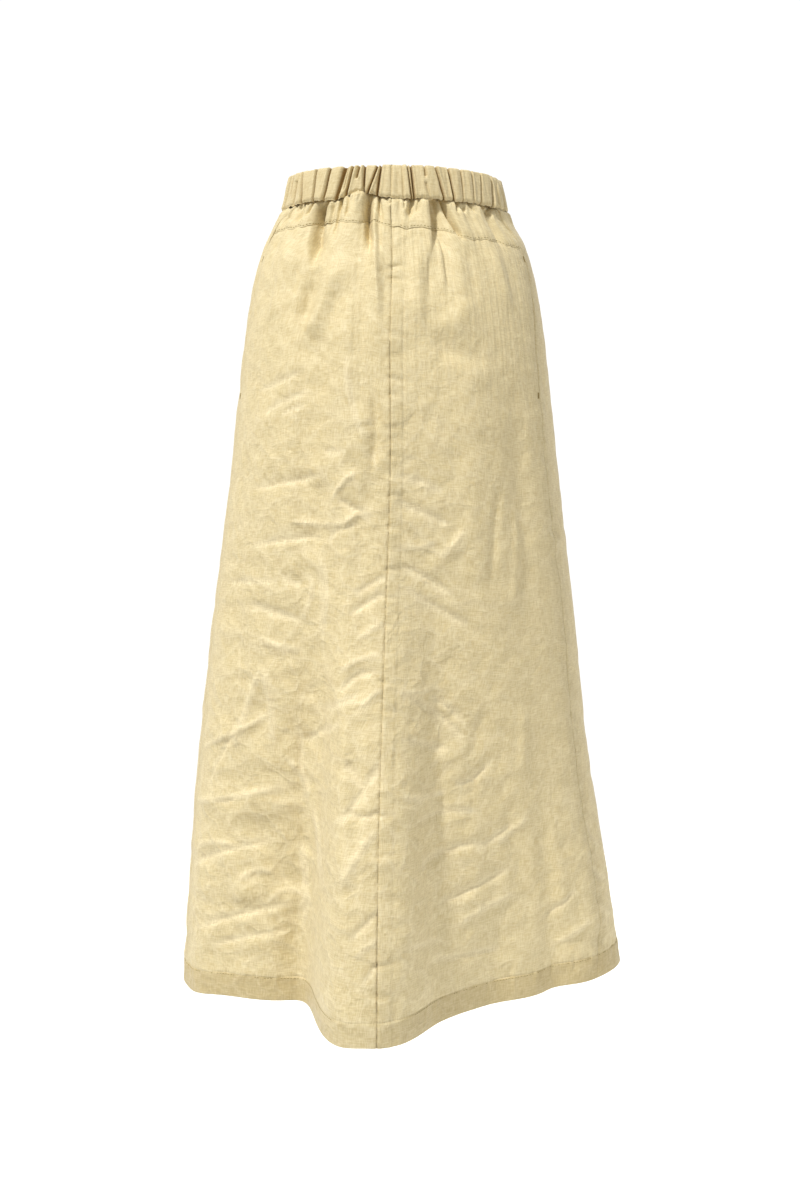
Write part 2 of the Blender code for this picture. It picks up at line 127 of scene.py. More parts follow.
# Pleats pressed into the elastic band. The lip is the cloth that stands up beside the groove, on
# its right where lipSide is 1. The shares say where down the band the groove starts and ends.
BandFold = namedtuple("BandFold", "topAngle seamAngle depth halfWidth lip lipSide start end")
bandFolds = (
    BandFold(-74.5, -72.0, 0.0026, 0.8, 0.0006, -1, 0.0, 0.60),
    BandFold(-68.0, -66.5, 0.0020, 0.9, 0.0004, 1, 0.30, 1.0),
    BandFold(-62.0, -58.5, 0.0030, 0.7, 0.0006, -1, 0.0, 1.0),
    BandFold(-49.3, -48.8, 0.0030, 0.55, 0.0007, -1, 0.0, 1.0),
    BandFold(-39.7, -41.7, 0.0032, 0.65, 0.0007, -1, 0.0, 1.0),
    BandFold(-30.2, -34.0, 0.0044, 1.35, 0.0009, 1, 0.0, 0.95),
    BandFold(-27.8, -30.5, 0.0016, 0.6, 0.0003, 1, 0.0, 0.70),
    BandFold(-25.6, -28.6, 0.0036, 0.75, 0.0008, 1, 0.0, 1.0),
    BandFold(-22.2, -24.4, 0.0028, 0.7, 0.0006, 1, 0.0, 0.42),
    BandFold(-19.2, -19.3, 0.0034, 0.6, 0.0006, -1, 0.0, 1.0),
    BandFold(-12.4, -17.2, 0.0030, 0.6, 0.0010, 1, 0.0, 1.0),
    BandFold(-10.6, -12.2, 0.0036, 0.65, 0.0006, 1, 0.0, 1.0),
    BandFold(0.2, 1.0, 0.0012, 0.55, 0.0002, 1, 0.0, 1.0),
    BandFold(3.0, 4.8, 0.0026, 0.45, 0.0005, -1, 0.0, 1.0),
    BandFold(4.8, 6.3, 0.0034, 0.55, 0.0006, 1, 0.0, 1.0),
    BandFold(12.2, 12.4, 0.0024, 0.7, 0.0003, 1, 0.0, 0.28),
    BandFold(10.0, 14.2, 0.0014, 0.7, 0.0003, -1, 0.55, 1.0),
    BandFold(18.0, 21.8, 0.0032, 0.6, 0.0007, 1, 0.0, 1.0),
    BandFold(25.3, 27.2, 0.0030, 0.55, 0.0006, -1, 0.0, 1.0),
    BandFold(33.3, 32.7, 0.0013, 0.5, 0.0002, 1, 0.0, 1.0),
    BandFold(40.8, 39.3, 0.0015, 0.5, 0.0002, 1, 0.0, 1.0),
    BandFold(48.3, 44.6, 0.0014, 0.5, 0.0002, -1, 0.0, 1.0),
    BandFold(58.0, 54.4, 0.0042, 0.75, 0.0008, 1, 0.0, 1.0),
    BandFold(64.0, 62.0, 0.0010, 0.6, 0.0002, 1, 0.2, 1.0),
    BandFold(75.0, 71.0, 0.0030, 1.2, 0.0004, -1, 0.15, 1.0),
    BandFold(84.0, 82.5, 0.0028, 0.8, 0.0006, 1, 0.0, 1.0),
)
frontBand = {
    "firstAngle": 93.0,
    "lastAngle": 283.0,
    "spaces": (9.0, 6.5, 11.0, 7.5, 5.5, 10.0, 8.0),
    "depths": (0.0032, 0.0022, 0.0038, 0.0026, 0.0030),
    "leans": (1.5, -1.0, -1.6),
}

# Creases of the cloth: three points on each, as angle and drop, its reach outwards, and its widths
# in metres on the left and right hand of a maker who follows it from start to end.
Crease = namedtuple("Crease", "a0 d0 a1 d1 a2 d2 reach left right")
gatherCreases = (
    # below the band, on the left
    Crease(-71.0, 0.010, -69.0, 0.024, -67.0, 0.040, -0.0022, 0.0030, 0.0020),
    Crease(-60.0, 0.014, -57.0, 0.024, -55.0, 0.036, -0.0032, 0.0040, 0.0040),
    Crease(-63.0, 0.012, -64.0, 0.022, -66.0, 0.034, -0.0016, 0.0018, 0.0018),
    Crease(-49.0, 0.008, -49.5, 0.020, -49.0, 0.030, -0.0020, 0.0014, 0.0014),
    Crease(-39.0, 0.012, -41.5, 0.020, -45.0, 0.026, -0.0062, 0.0026, 0.0026),
    Crease(-44.0, 0.014, -43.0, 0.042, -38.0, 0.085, -0.0080, 0.0110, 0.0018),
    Crease(-36.0, 0.010, -34.0, 0.030, -34.5, 0.048, -0.0018, 0.0040, 0.0030),
    Crease(-31.5, 0.006, -30.0, 0.030, -30.6, 0.058, -0.0026, 0.0030, 0.0018),
    Crease(-27.5, 0.004, -25.6, 0.020, -25.4, 0.038, -0.0018, 0.0014, 0.0014),
    Crease(-17.8, 0.002, -15.6, 0.038, -12.6, 0.072, -0.0052, 0.0042, 0.0020),
    Crease(-14.0, 0.012, -11.0, 0.070, -8.4, 0.150, 0.0020, 0.0034, 0.0034),
    Crease(-11.6, 0.012, -10.2, 0.040, -9.2, 0.080, -0.0012, 0.0022, 0.0018),
    Crease(-12.2, 0.002, -10.6, 0.020, -8.6, 0.040, -0.0030, 0.0012, 0.0012),
    Crease(-8.2, 0.011, -6.6, 0.018, -5.4, 0.022, -0.0018, 0.0020, 0.0016),
    # on the right
    Crease(1.0, 0.008, 1.4, 0.018, 0.8, 0.028, -0.0018, 0.0016, 0.0016),
    Crease(5.6, 0.004, 4.6, 0.020, 3.2, 0.038, -0.0036, 0.0022, 0.0030),
    Crease(9.0, 0.012, 8.0, 0.022, 7.4, 0.030, -0.0014, 0.0016, 0.0016),
    Crease(11.0, -0.004, 14.6, 0.020, 12.0, 0.072, -0.0058, 0.0100, 0.0012),
    Crease(16.4, 0.048, 17.2, 0.072, 17.0, 0.110, -0.0018, 0.0080, 0.0016),
    Crease(20.6, 0.002, 23.2, 0.034, 27.0, 0.056, -0.0042, 0.0024, 0.0014),
    Crease(28.0, 0.014, 30.5, 0.021, 34.0, 0.026, -0.0020, 0.0040, 0.0020),
    Crease(30.0, 0.012, 29.0, 0.020, 27.5, 0.028, -0.0014, 0.0014, 0.0014),
    Crease(36.5, 0.012, 37.5, 0.020, 39.5, 0.028, -0.0016, 0.0016, 0.0016),
    Crease(45.0, 0.008, 46.8, 0.032, 49.0, 0.062, -0.0028, 0.0090, 0.0018),
    Crease(56.0, 0.012, 53.0, 0.021, 49.0, 0.027, -0.0044, 0.0018, 0.0018),
    Crease(57.5, 0.010, 60.0, 0.030, 64.0, 0.052, -0.0020, 0.0030, 0.0020),
)
softCreases = (
    Crease(-23.0, 0.068, -31.5, 0.113, -40.0, 0.165, 0.0034, 0.0095, 0.0095),
    Crease(-16.0, 0.085, -27.0, 0.130, -36.0, 0.185, -0.0020, 0.0110, 0.0110),
    Crease(-35.0, 0.075, -38.0, 0.105, -44.0, 0.150, -0.0022, 0.0080, 0.0080),
    Crease(-54.0, 0.050, -54.0, 0.090, -57.0, 0.140, 0.0022, 0.0080, 0.0080),
    Crease(-45.5, 0.068, -46.5, 0.104, -47.0, 0.140, -0.0020, 0.0060, 0.0060),
    Crease(-11.5, 0.056, -12.0, 0.104, -10.5, 0.170, 0.0018, 0.0060, 0.0060),
    Crease(5.5, 0.060, 5.0, 0.105, 5.5, 0.150, 0.0026, 0.0070, 0.0100),
    Crease(12.5, 0.060, 10.5, 0.085, 9.5, 0.120, -0.0018, 0.0070, 0.0030),
    Crease(27.0, 0.060, 28.0, 0.085, 27.0, 0.120, -0.0016, 0.0080, 0.0080),
    Crease(40.0, 0.058, 43.0, 0.085, 46.0, 0.130, 0.0018, 0.0080, 0.0080),
    Crease(7.0, 0.150, 20.0, 0.165, 33.0, 0.168, -0.0026, 0.0130, 0.0090),
    Crease(24.0, 0.110, 20.0, 0.128, 12.0, 0.150, 0.0022, 0.0110, 0.0110),
    Crease(-11.0, 0.195, -9.5, 0.235, -11.0, 0.285, -0.0020, 0.0050, 0.0040),
    Crease(-15.0, 0.180, -14.0, 0.260, -15.0, 0.330, 0.0022, 0.0080, 0.0080),
    Crease(-28.0, 0.150, -31.0, 0.200, -31.0, 0.280, -0.0020, 0.0100, 0.0090),
    Crease(-29.0, 0.280, -28.0, 0.320, -30.0, 0.370, -0.0022, 0.0090, 0.0120),
    Crease(-52.0, 0.200, -56.0, 0.260, -57.0, 0.330, 0.0016, 0.0120, 0.0120),
    Crease(-64.0, 0.360, -60.0, 0.420, -60.0, 0.480, -0.0018, 0.0120, 0.0120),
    Crease(-17.0, 0.440, -14.5, 0.590, -13.2, 0.760, 0.0024, 0.0070, 0.0070),
    Crease(-24.0, 0.440, -21.0, 0.600, -20.0, 0.760, -0.0026, 0.0090, 0.0090),
    Crease(-44.0, 0.480, -44.0, 0.520, -46.0, 0.560, -0.0020, 0.0110, 0.0110),
    Crease(-46.0, 0.620, -38.0, 0.660, -30.0, 0.720, -0.0028, 0.0150, 0.0110),
    Crease(-60.0, 0.650, -50.0, 0.690, -44.0, 0.720, 0.0024, 0.0120, 0.0120),
    Crease(33.5, 0.287, 30.0, 0.344, 27.0, 0.404, -0.0014, 0.0050, 0.0050),
    Crease(40.5, 0.305, 39.5, 0.365, 35.0, 0.425, 0.0016, 0.0050, 0.0060),
    Crease(20.0, 0.280, 22.0, 0.330, 21.0, 0.400, 0.0014, 0.0100, 0.0100),
    Crease(36.5, 0.506, 37.5, 0.548, 35.0, 0.587, 0.0016, 0.0060, 0.0060),
    Crease(26.0, 0.503, 22.0, 0.533, 20.0, 0.563, -0.0014, 0.0070, 0.0070),
    Crease(28.0, 0.600, 33.0, 0.680, 33.0, 0.760, -0.0030, 0.0130, 0.0130),
    Crease(17.0, 0.610, 20.0, 0.690, 19.0, 0.760, 0.0030, 0.0120, 0.0120),
    Crease(4.0, 0.600, 6.0, 0.680, 5.0, 0.760, -0.0022, 0.0090, 0.0090),
    Crease(45.0, 0.620, 47.0, 0.690, 46.0, 0.760, 0.0024, 0.0090, 0.0090),
)
sharpCreases = (
    # upper left of the back
    Crease(-62.5, 0.200, -47.5, 0.191, -38.5, 0.179, -0.0008, 0.0040, 0.0020),
    Crease(-55.5, 0.224, -44.5, 0.209, -33.5, 0.200, -0.0009, 0.0040, 0.0020),
    Crease(-47.0, 0.227, -41.5, 0.218, -35.0, 0.215, -0.0007, 0.0030, 0.0015),
    Crease(-20.5, 0.161, -18.0, 0.209, -12.5, 0.248, 0.0006, 0.0030, 0.0030),
    Crease(-27.5, 0.262, -24.0, 0.257, -18.0, 0.259, -0.0008, 0.0024, 0.0050),
    # middle left
    Crease(-59.5, 0.296, -43.0, 0.290, -24.0, 0.279, -0.0015, 0.0050, 0.0016),
    Crease(-40.0, 0.326, -28.0, 0.328, -12.0, 0.327, 0.0011, 0.0020, 0.0022),
    Crease(-58.0, 0.354, -39.5, 0.345, -25.0, 0.341, -0.0013, 0.0055, 0.0018),
    Crease(-24.5, 0.309, -19.5, 0.287, -14.5, 0.277, 0.0016, 0.0030, 0.0024),
    Crease(-22.0, 0.303, -16.5, 0.311, -9.0, 0.324, -0.0017, 0.0024, 0.0050),
    Crease(-19.5, 0.333, -15.5, 0.320, -8.0, 0.319, 0.0015, 0.0030, 0.0024),
    Crease(-23.5, 0.350, -20.5, 0.333, -11.5, 0.330, -0.0015, 0.0040, 0.0022),
    Crease(-27.5, 0.358, -24.0, 0.392, -24.5, 0.445, 0.0012, 0.0030, 0.0060),
    Crease(-42.0, 0.375, -37.0, 0.385, -32.0, 0.386, -0.0008, 0.0024, 0.0024),
    Crease(-74.0, 0.392, -54.0, 0.388, -40.0, 0.386, -0.0009, 0.0040, 0.0018),
    Crease(-55.5, 0.407, -43.5, 0.414, -30.0, 0.424, -0.0012, 0.0026, 0.0060),
    Crease(-48.0, 0.440, -40.0, 0.449, -28.0, 0.452, 0.0011, 0.0030, 0.0040),
    Crease(-33.0, 0.374, -29.0, 0.392, -33.0, 0.428, 0.0009, 0.0028, 0.0028),
    # beside the middle seam, rising to it
    Crease(-15.5, 0.398, -9.5, 0.385, -4.8, 0.377, -0.0014, 0.0030, 0.0020),
    Crease(-16.5, 0.418, -10.0, 0.402, -4.8, 0.393, -0.0017, 0.0034, 0.0022),
    Crease(-14.0, 0.440, -9.0, 0.428, -5.0, 0.420, 0.0011, 0.0024, 0.0024),
    Crease(-18.0, 0.472, -13.0, 0.458, -5.5, 0.452, 0.0013, 0.0026, 0.0026),
    Crease(-17.0, 0.492, -13.0, 0.474, -5.6, 0.469, -0.0020, 0.0040, 0.0026),
    Crease(-12.5, 0.508, -9.0, 0.492, -5.6, 0.484, 0.0012, 0.0026, 0.0026),
    Crease(-15.0, 0.551, -12.0, 0.563, -9.5, 0.580, -0.0018, 0.0022, 0.0050),
    Crease(-14.5, 0.595, -9.5, 0.604, -5.4, 0.592, -0.0018, 0.0030, 0.0026),
    Crease(-17.0, 0.618, -10.0, 0.580, -5.4, 0.545, -0.0016, 0.0040, 0.0040),
    Crease(-14.5, 0.672, -11.0, 0.640, -6.0, 0.610, 0.0015, 0.0040, 0.0040),
    Crease(-12.5, 0.722, -8.5, 0.702, -5.8, 0.690, -0.0016, 0.0028, 0.0024),
    Crease(-11.5, 0.738, -8.0, 0.722, -5.8, 0.714, 0.0010, 0.0024, 0.0024),
    Crease(-9.5, 0.764, -7.5, 0.748, -5.8, 0.737, -0.0013, 0.0022, 0.0022),
    # lower left
    Crease(-45.0, 0.470, -49.5, 0.506, -54.5, 0.569, 0.0015, 0.0045, 0.0045),
    Crease(-45.0, 0.470, -41.5, 0.503, -39.0, 0.563, 0.0012, 0.0045, 0.0045),
    Crease(-80.0, 0.566, -56.0, 0.543, -39.0, 0.512, 0.0013, 0.0024, 0.0024),
    Crease(-68.5, 0.605, -58.0, 0.554, -52.5, 0.521, -0.0013, 0.0040, 0.0024),
    Crease(-23.5, 0.512, -17.0, 0.500, -11.0, 0.488, -0.0012, 0.0050, 0.0024),
    Crease(-30.0, 0.545, -23.0, 0.533, -15.0, 0.514, -0.0013, 0.0040, 0.0030),
    Crease(-36.0, 0.560, -29.0, 0.580, -27.0, 0.615, 0.0013, 0.0034, 0.0034),
    Crease(-33.0, 0.520, -30.0, 0.552, -31.0, 0.590, -0.0012, 0.0034, 0.0034),
    Crease(-26.0, 0.600, -22.0, 0.640, -21.0, 0.680, 0.0012, 0.0040, 0.0040),
    Crease(-81.0, 0.622, -55.0, 0.608, -32.0, 0.588, 0.0014, 0.0026, 0.0030),
    Crease(-67.0, 0.605, -58.0, 0.613, -48.0, 0.600, -0.0010, 0.0024, 0.0024),
    Crease(-74.0, 0.674, -59.0, 0.656, -47.0, 0.666, 0.0011, 0.0026, 0.0026),
    Crease(-81.0, 0.698, -54.0, 0.664, -36.0, 0.650, -0.0014, 0.0050, 0.0026),
    Crease(-50.0, 0.700, -42.0, 0.680, -34.0, 0.690, 0.0012, 0.0030, 0.0030),
    Crease(-40.0, 0.720, -33.0, 0.700, -26.0, 0.708, 0.0013, 0.0030, 0.0030),
    Crease(-70.0, 0.758, -46.0, 0.728, -27.0, 0.712, -0.0019, 0.0060, 0.0024),
    Crease(-62.0, 0.772, -43.5, 0.751, -29.0, 0.744, -0.0012, 0.0040, 0.0022),
    Crease(-30.0, 0.640, -27.0, 0.690, -28.0, 0.750, 0.0014, 0.0050, 0.0040),
    # right of the middle seam
    Crease(-4.5, 0.281, 5.0, 0.286, 14.5, 0.300, -0.0010, 0.0030, 0.0050),
    Crease(-3.5, 0.304, 6.0, 0.316, 17.5, 0.333, -0.0012, 0.0030, 0.0050),
    Crease(-4.0, 0.345, 4.0, 0.350, 12.0, 0.340, 0.0009, 0.0030, 0.0030),
    Crease(-3.5, 0.364, 7.5, 0.381, 16.5, 0.403, -0.0020, 0.0036, 0.0060),
    Crease(-1.0, 0.387, 10.5, 0.409, 22.0, 0.430, -0.0014, 0.0024, 0.0060),
    Crease(10.0, 0.360, 15.0, 0.350, 20.0, 0.330, 0.0010, 0.0030, 0.0030),
    Crease(-4.0, 0.484, 3.0, 0.490, 9.0, 0.486, 0.0010, 0.0026, 0.0026),
    Crease(-2.0, 0.487, 9.0, 0.511, 18.5, 0.546, -0.0016, 0.0026, 0.0060),
    Crease(6.0, 0.495, 12.0, 0.507, 19.0, 0.534, -0.0017, 0.0050, 0.0018),
    Crease(-2.5, 0.530, 6.5, 0.541, 14.0, 0.552, -0.0013, 0.0020, 0.0050),
    Crease(-3.0, 0.582, 5.0, 0.592, 13.0, 0.590, 0.0012, 0.0028, 0.0028),
    Crease(12.0, 0.588, 20.0, 0.580, 27.0, 0.560, -0.0012, 0.0040, 0.0028),
    Crease(-0.5, 0.617, 10.5, 0.611, 21.0, 0.616, -0.0010, 0.0028, 0.0028),
    Crease(17.0, 0.656, 25.5, 0.644, 33.5, 0.630, -0.0012, 0.0040, 0.0030),
    Crease(24.0, 0.650, 31.0, 0.640, 38.0, 0.622, 0.0009, 0.0030, 0.0030),
    Crease(1.5, 0.661, 12.0, 0.650, 24.0, 0.648, -0.0014, 0.0050, 0.0026),
    Crease(5.5, 0.704, 18.0, 0.692, 31.5, 0.676, -0.0017, 0.0055, 0.0026),
    Crease(10.5, 0.728, 21.0, 0.714, 31.5, 0.704, 0.0012, 0.0030, 0.0030),
    Crease(2.5, 0.754, 15.5, 0.760, 27.0, 0.760, -0.0013, 0.0040, 0.0024),
    Crease(36.0, 0.744, 46.0, 0.727, 54.0, 0.712, -0.0015, 0.0040, 0.0024),
    Crease(41.0, 0.772, 51.0, 0.757, 59.0, 0.748, 0.0012, 0.0030, 0.0024),
    Crease(-2.0, 0.730, 5.0, 0.735, 11.5, 0.748, -0.0010, 0.0026, 0.0026),
    # right side, behind the side seam
    Crease(64.0, 0.640, 68.0, 0.662, 75.0, 0.676, -0.0010, 0.0040, 0.0024),
    Crease(62.0, 0.690, 68.0, 0.706, 75.0, 0.714, -0.0009, 0.0040, 0.0024),
    Crease(62.0, 0.730, 68.0, 0.746, 75.0, 0.750, 0.0008, 0.0030, 0.0024),
)
# The hidden front repeats these, turned round and stretched, so no two lie alike.
frontRepeat = {"middleAngle": 172.0, "stretch": 1.16, "dropShift": 0.030, "skip": 3}

# Short puckers that the middle seam draws in its right side
seamPuckers = {
    "drops": (0.083, 0.094, 0.147, 0.168, 0.189, 0.204, 0.236, 0.246, 0.262, 0.300, 0.330, 0.352, 0.371,
              0.398, 0.424, 0.451, 0.478, 0.505, 0.536, 0.571, 0.602, 0.640, 0.667, 0.705, 0.742, 0.771),
    "reach": -0.0018,
    "length": 0.012,
    "halfHeight": 0.0022,
}


def follow(knots, values, at):
    # smooth curve through a table's column
    knots = np.asarray(knots, float)
    values = np.asarray(values, float)
    at = np.clip(np.asarray(at, float), knots[0], knots[-1])
    slopes = np.gradient(values, knots)
    index = np.clip(np.searchsorted(knots, at) - 1, 0, len(knots) - 2)
    span = knots[index + 1] - knots[index]
    t = (at - knots[index]) / span
    return (
        (1 + 2 * t) * (1 - t) ** 2 * values[index]
        + t * (1 - t) ** 2 * span * slopes[index]
        + t**2 * (3 - 2 * t) * values[index + 1]
        + t**2 * (t - 1) * span * slopes[index + 1]
    )


def column(table, name, at):
    return follow([row[0] for row in table], [getattr(row, name) for row in table], at)


def turned(angle):
    return (np.asarray(angle, float) + 180.0) % 360.0 - 180.0


def eased(t):
    t = np.clip(t, 0.0, 1.0)
    return t * t * (3 - 2 * t)


def ringDrop(name, angle):
    return column(ringLines, name, turned(angle))


def bandSeam(angle):
    # the lower edge of the band, drawn up and let down a little by its gathers
    turn = np.radians(angle)
    scallop = np.sin(turn * 62 + 2 * np.sin(turn * 17)) + 0.6 * np.sin(turn * 131)
    return ringDrop("band", angle) + 0.00045 * scallop


def yokeSeam(angle):
    # the lower edge of the yoke, pulled out of line by the gathers that cross it
    turn = np.radians(angle)
    pull = np.sin(turn * 13 + 1.0) + 0.8 * np.sin(turn * 29 + 2 * np.sin(turn * 7)) + 0.4 * np.sin(turn * 71)
    return ringDrop("yoke", angle) + 0.0009 * pull


def seamAngle(name, drop):
    if name == "leftAfterFront":  # the front panel ends at the left seam a whole turn on
        return column(seamLines, "left", drop) + 360.0
    return column(seamLines, name, drop)


def radii(angle, drop):
    turn = np.radians(angle)
    sine = np.sin(turn)
    cosine = np.cos(turn)
    wide = np.where(sine > 0, column(sections, "right", drop), column(sections, "left", drop))
    deep = np.where(cosine > 0, column(sections, "back", drop), column(sections, "front", drop))
    return sine, cosine, wide, deep


def metresPerDegree(angle, drop):
    sine, cosine, wide, deep = radii(angle, drop)
    return np.radians(1.0) * np.hypot(wide * cosine, deep * sine)


def place(angle, drop, reach):
    sine, cosine, wide, deep = radii(angle, drop)
    outX = sine / wide
    outY = -cosine / deep
    length = np.hypot(outX, outY)
    x = wide * sine + reach * outX / length
    y = column(sections, "forward", drop) - deep * cosine + reach * outY / length
    return np.stack([x, y, np.broadcast_to(-drop, x.shape)], axis=-1)


def foldReach(fold, angle, drop):
    t = np.clip((drop - fold.startDrop) / (fold.endDrop - fold.startDrop), 0.0, 1.0)
    middle = fold.startAngle + (fold.endAngle - fold.startAngle) * t
    reach = fold.startReach + (fold.endReach - fold.startReach) * eased(t)
    aside = turned(angle - middle)
    half = np.where(aside < 0, fold.leftHalf, fold.rightHalf)
    shape = np.exp(-(np.abs(aside / half) ** fold.power))
    ease = 0.012 if fold.startDrop < 0.1 else 0.090  # gathers start at their seam, folds slowly
    return reach * shape * eased((drop - fold.startDrop + ease) / ease)


def creaseReach(crease, angle, drop, power, wider):
    # distance to the crease's path in metres of cloth, turned into a soft or a sharp trough
    scale = float(metresPerDegree(crease.a1, crease.d1))
    across = turned(angle - crease.a1) * scale
    down = drop - crease.d1
    pathX = np.array([crease.a0 - crease.a1, 0.0, crease.a2 - crease.a1]) * scale
    pathY = np.array([crease.d0 - crease.d1, 0.0, crease.d2 - crease.d1])
    edge = 3.0 * wider * max(crease.left, crease.right)
    reach = np.zeros(np.shape(angle))
    near = np.flatnonzero(
        (across > pathX.min() - edge) & (across < pathX.max() + edge)
        & (down > pathY.min() - edge) & (down < pathY.max() + edge)
    )
    if not len(near):
        return reach
    x = across[near]
    y = down[near]
    best = np.full(len(near), 1e9)
    along = np.zeros(len(near))
    hand = np.zeros(len(near))
    t = np.linspace(0.0, 1.0, 13)
    weights = np.stack([2 * (t - 0.5) * (t - 1), -4 * t * (t - 1), 2 * t * (t - 0.5)])
    lineX = pathX @ weights
    lineY = pathY @ weights
    for k in range(len(t) - 1):
        stepX = lineX[k + 1] - lineX[k]
        stepY = lineY[k + 1] - lineY[k]
        part = ((x - lineX[k]) * stepX + (y - lineY[k]) * stepY) / (stepX**2 + stepY**2)
        part = np.clip(part, 0.0, 1.0)
        offX = x - lineX[k] - part * stepX
        offY = y - lineY[k] - part * stepY
        away = np.hypot(offX, offY)
        closer = away < best
        best = np.where(closer, away, best)
        along = np.where(closer, (k + part) / (len(t) - 1), along)
        hand = np.where(closer, stepY * offX - stepX * offY, hand)
    width = wider * np.where(hand > 0, crease.left, crease.right)
    fade = eased(along / 0.3) * eased((1 - along) / 0.3)
    reach[near] = crease.reach * fade * np.exp(-((best / width) ** power))
    return reach


def frontFolds():
    # the hidden front of the band repeats an uneven rhythm
    folds = []
    angle = frontBand["firstAngle"]
    while angle < frontBand["lastAngle"]:
        k = len(folds)
        depth = frontBand["depths"][k % 5]
        lean = frontBand["leans"][k % 3]
        folds.append(BandFold(angle, angle + lean, depth, 0.7, depth / 5, 1 - 2 * (k % 2), 0.0, 1.0))
        angle += frontBand["spaces"][k % 7]
    return tuple(folds)


def frontGathers():
    gathers = []
    for k, fold in enumerate(frontFolds()):
        end = (0.085, 0.130, 0.070, 0.150, 0.100)[k % 5]
        start = fold.seamAngle
        gathers.append(Fold(0.012, end, start, start + 1.5, -0.0036, 0.0, 2.6, 2.6, 2.0))
    return tuple(gathers)


def smallGathers():
    # fine gathers between the others, short and uneven, all round below the band
    chance = np.random.default_rng(11)
    gathers = []
    angle = -80.0
    while angle < 280.0:
        end = 0.024 + 0.026 * chance.random() ** 2
        reach = -0.0008 - 0.0014 * chance.random()
        half = 0.7 + 0.6 * chance.random()
        drift = chance.uniform(-1.5, 1.5)
        gathers.append(Fold(0.010, end, angle, angle + drift, reach, 0.0, half, half, 2.0))
        angle += 2.4 + 2.6 * chance.random()
    return tuple(gathers)


def frontCreases(creases):
    # creases of the back, turned round to the front and shifted
    turnedRound = []
    for k, crease in enumerate(creases):
        if k % frontRepeat["skip"] == 0:
            continue
        shift = frontRepeat["dropShift"] * np.sin(2.3 * k)
        middle = frontRepeat["middleAngle"]
        angles = [middle - frontRepeat["stretch"] * a for a in (crease.a0, crease.a1, crease.a2)]
        drops = [d + shift for d in (crease.d0, crease.d1, crease.d2)]
        if max(drops) > 0.790 or min(angles) < 68.0 or max(angles) > 276.0:
            continue
        turnedRound.append(Crease(angles[0], drops[0], angles[1], drops[1], angles[2], drops[2],
                                  crease.reach, crease.right, crease.left))
    return tuple(turnedRound)


allBandFolds = bandFolds + frontFolds()
allFolds = backGathers + frontGathers() + smallGathers() + largeFolds
allSoft = softCreases + frontCreases(softCreases)
allSharp = sharpCreases + frontCreases(sharpCreases)

crumple = {
    "creases": 1.9,          # how much deeper the drawn creases are than their tables say
    "softCreases": 1.5,
    "creaseWidth": 1.1,
    "gathers": 2.3,
    "gatherWidth": 1.1,
    "washed": 1.0,
    "dragLines": 0.00013,
}

# Creases that washing leaves all over: how steeply they run, which way round the skirt, the space
# between them and how far they stand out, in metres
WashCrease = namedtuple("WashCrease", "slope heading space reach")
washCreases = (
    WashCrease(14.0, 35.0, 0.054, 0.0016),
    WashCrease(-24.0, -30.0, 0.045, -0.0014),
    WashCrease(57.0, 40.0, 0.049, 0.0018),
    WashCrease(-63.0, -40.0, 0.058, -0.0018),
    WashCrease(84.0, 20.0, 0.041, 0.0015),
    WashCrease(-38.0, 35.0, 0.024, 0.0008),
    WashCrease(34.0, -35.0, 0.020, -0.0007),
    WashCrease(-78.0, 30.0, 0.018, 0.0006),
    WashCrease(66.0, -25.0, 0.015, -0.0005),
)


def crumpled(angle, drop):
    # sharp creases in several ways, each in its own patches, with flatter facets between
    points = place(angle, drop, 0.0)
    reach = np.zeros(np.shape(angle))
    for k, crease in enumerate(washCreases):
        slope = np.radians(crease.slope)
        heading = np.radians(crease.heading)
        level = points[..., 0] * np.cos(heading) + points[..., 1] * np.sin(heading)
        along = level * np.cos(slope) + drop * np.sin(slope)
        across = drop * np.cos(slope) - level * np.sin(slope)
        bend = 0.30 * np.sin(along * 19 + 2.1 * k) + 0.22 * np.sin(along * 43 - across * 31 + k)
        wave = np.abs(np.sin(np.pi * (across / crease.space + bend)))
        patch = np.sin(along * 24 + 1.7 * k + 1.4 * np.sin(across * 37 + k))
        patch = patch * np.sin(across * 29 + 2.9 * k + 1.3 * np.sin(along * 15))
        reach += crumple["washed"] * crease.reach * (wave - 0.6) * eased((patch + 0.15) / 0.6)
    return reach


def crumpleStrength(angle, drop):
    # least by the band and on the right of the back, most low down and by the middle seam
    lower = 0.55 + 0.45 * eased((drop - 0.08) / 0.28)
    side = 1.0 - 0.45 * np.exp(-((turned(angle - 38.0) / 22.0) ** 2))
    edges = 1.0 - 0.6 * np.exp(-(((np.abs(turned(angle)) - 84.0) / 13.0) ** 2))
    return lower * side * edges


def dragLines(angle, drop):
    # fine upright ripples that hang from the gathers
    ripple = np.sin(angle * 1.9 + 2 * np.sin(angle * 0.31))
    ripple = ripple + 0.6 * np.sin(angle * 3.3 + 3 * np.sin(angle * 0.17))
    return crumple["dragLines"] * ripple * eased((drop - 0.02) / 0.03) * eased((0.33 - drop) / 0.22)


def pressedLines(angle, drop):
    # 1 along the crest of each drawn sharp crease, painted pale there: partly worn, partly a painted highlight where
    # the crest catches the light
    worn = np.zeros(angle.size)
    for crease in allSharp:
        line = creaseReach(crease, angle.ravel(), drop.ravel(), 2.0, 0.8) / crease.reach
        worn = np.maximum(worn, line)
    return worn.reshape(angle.shape)


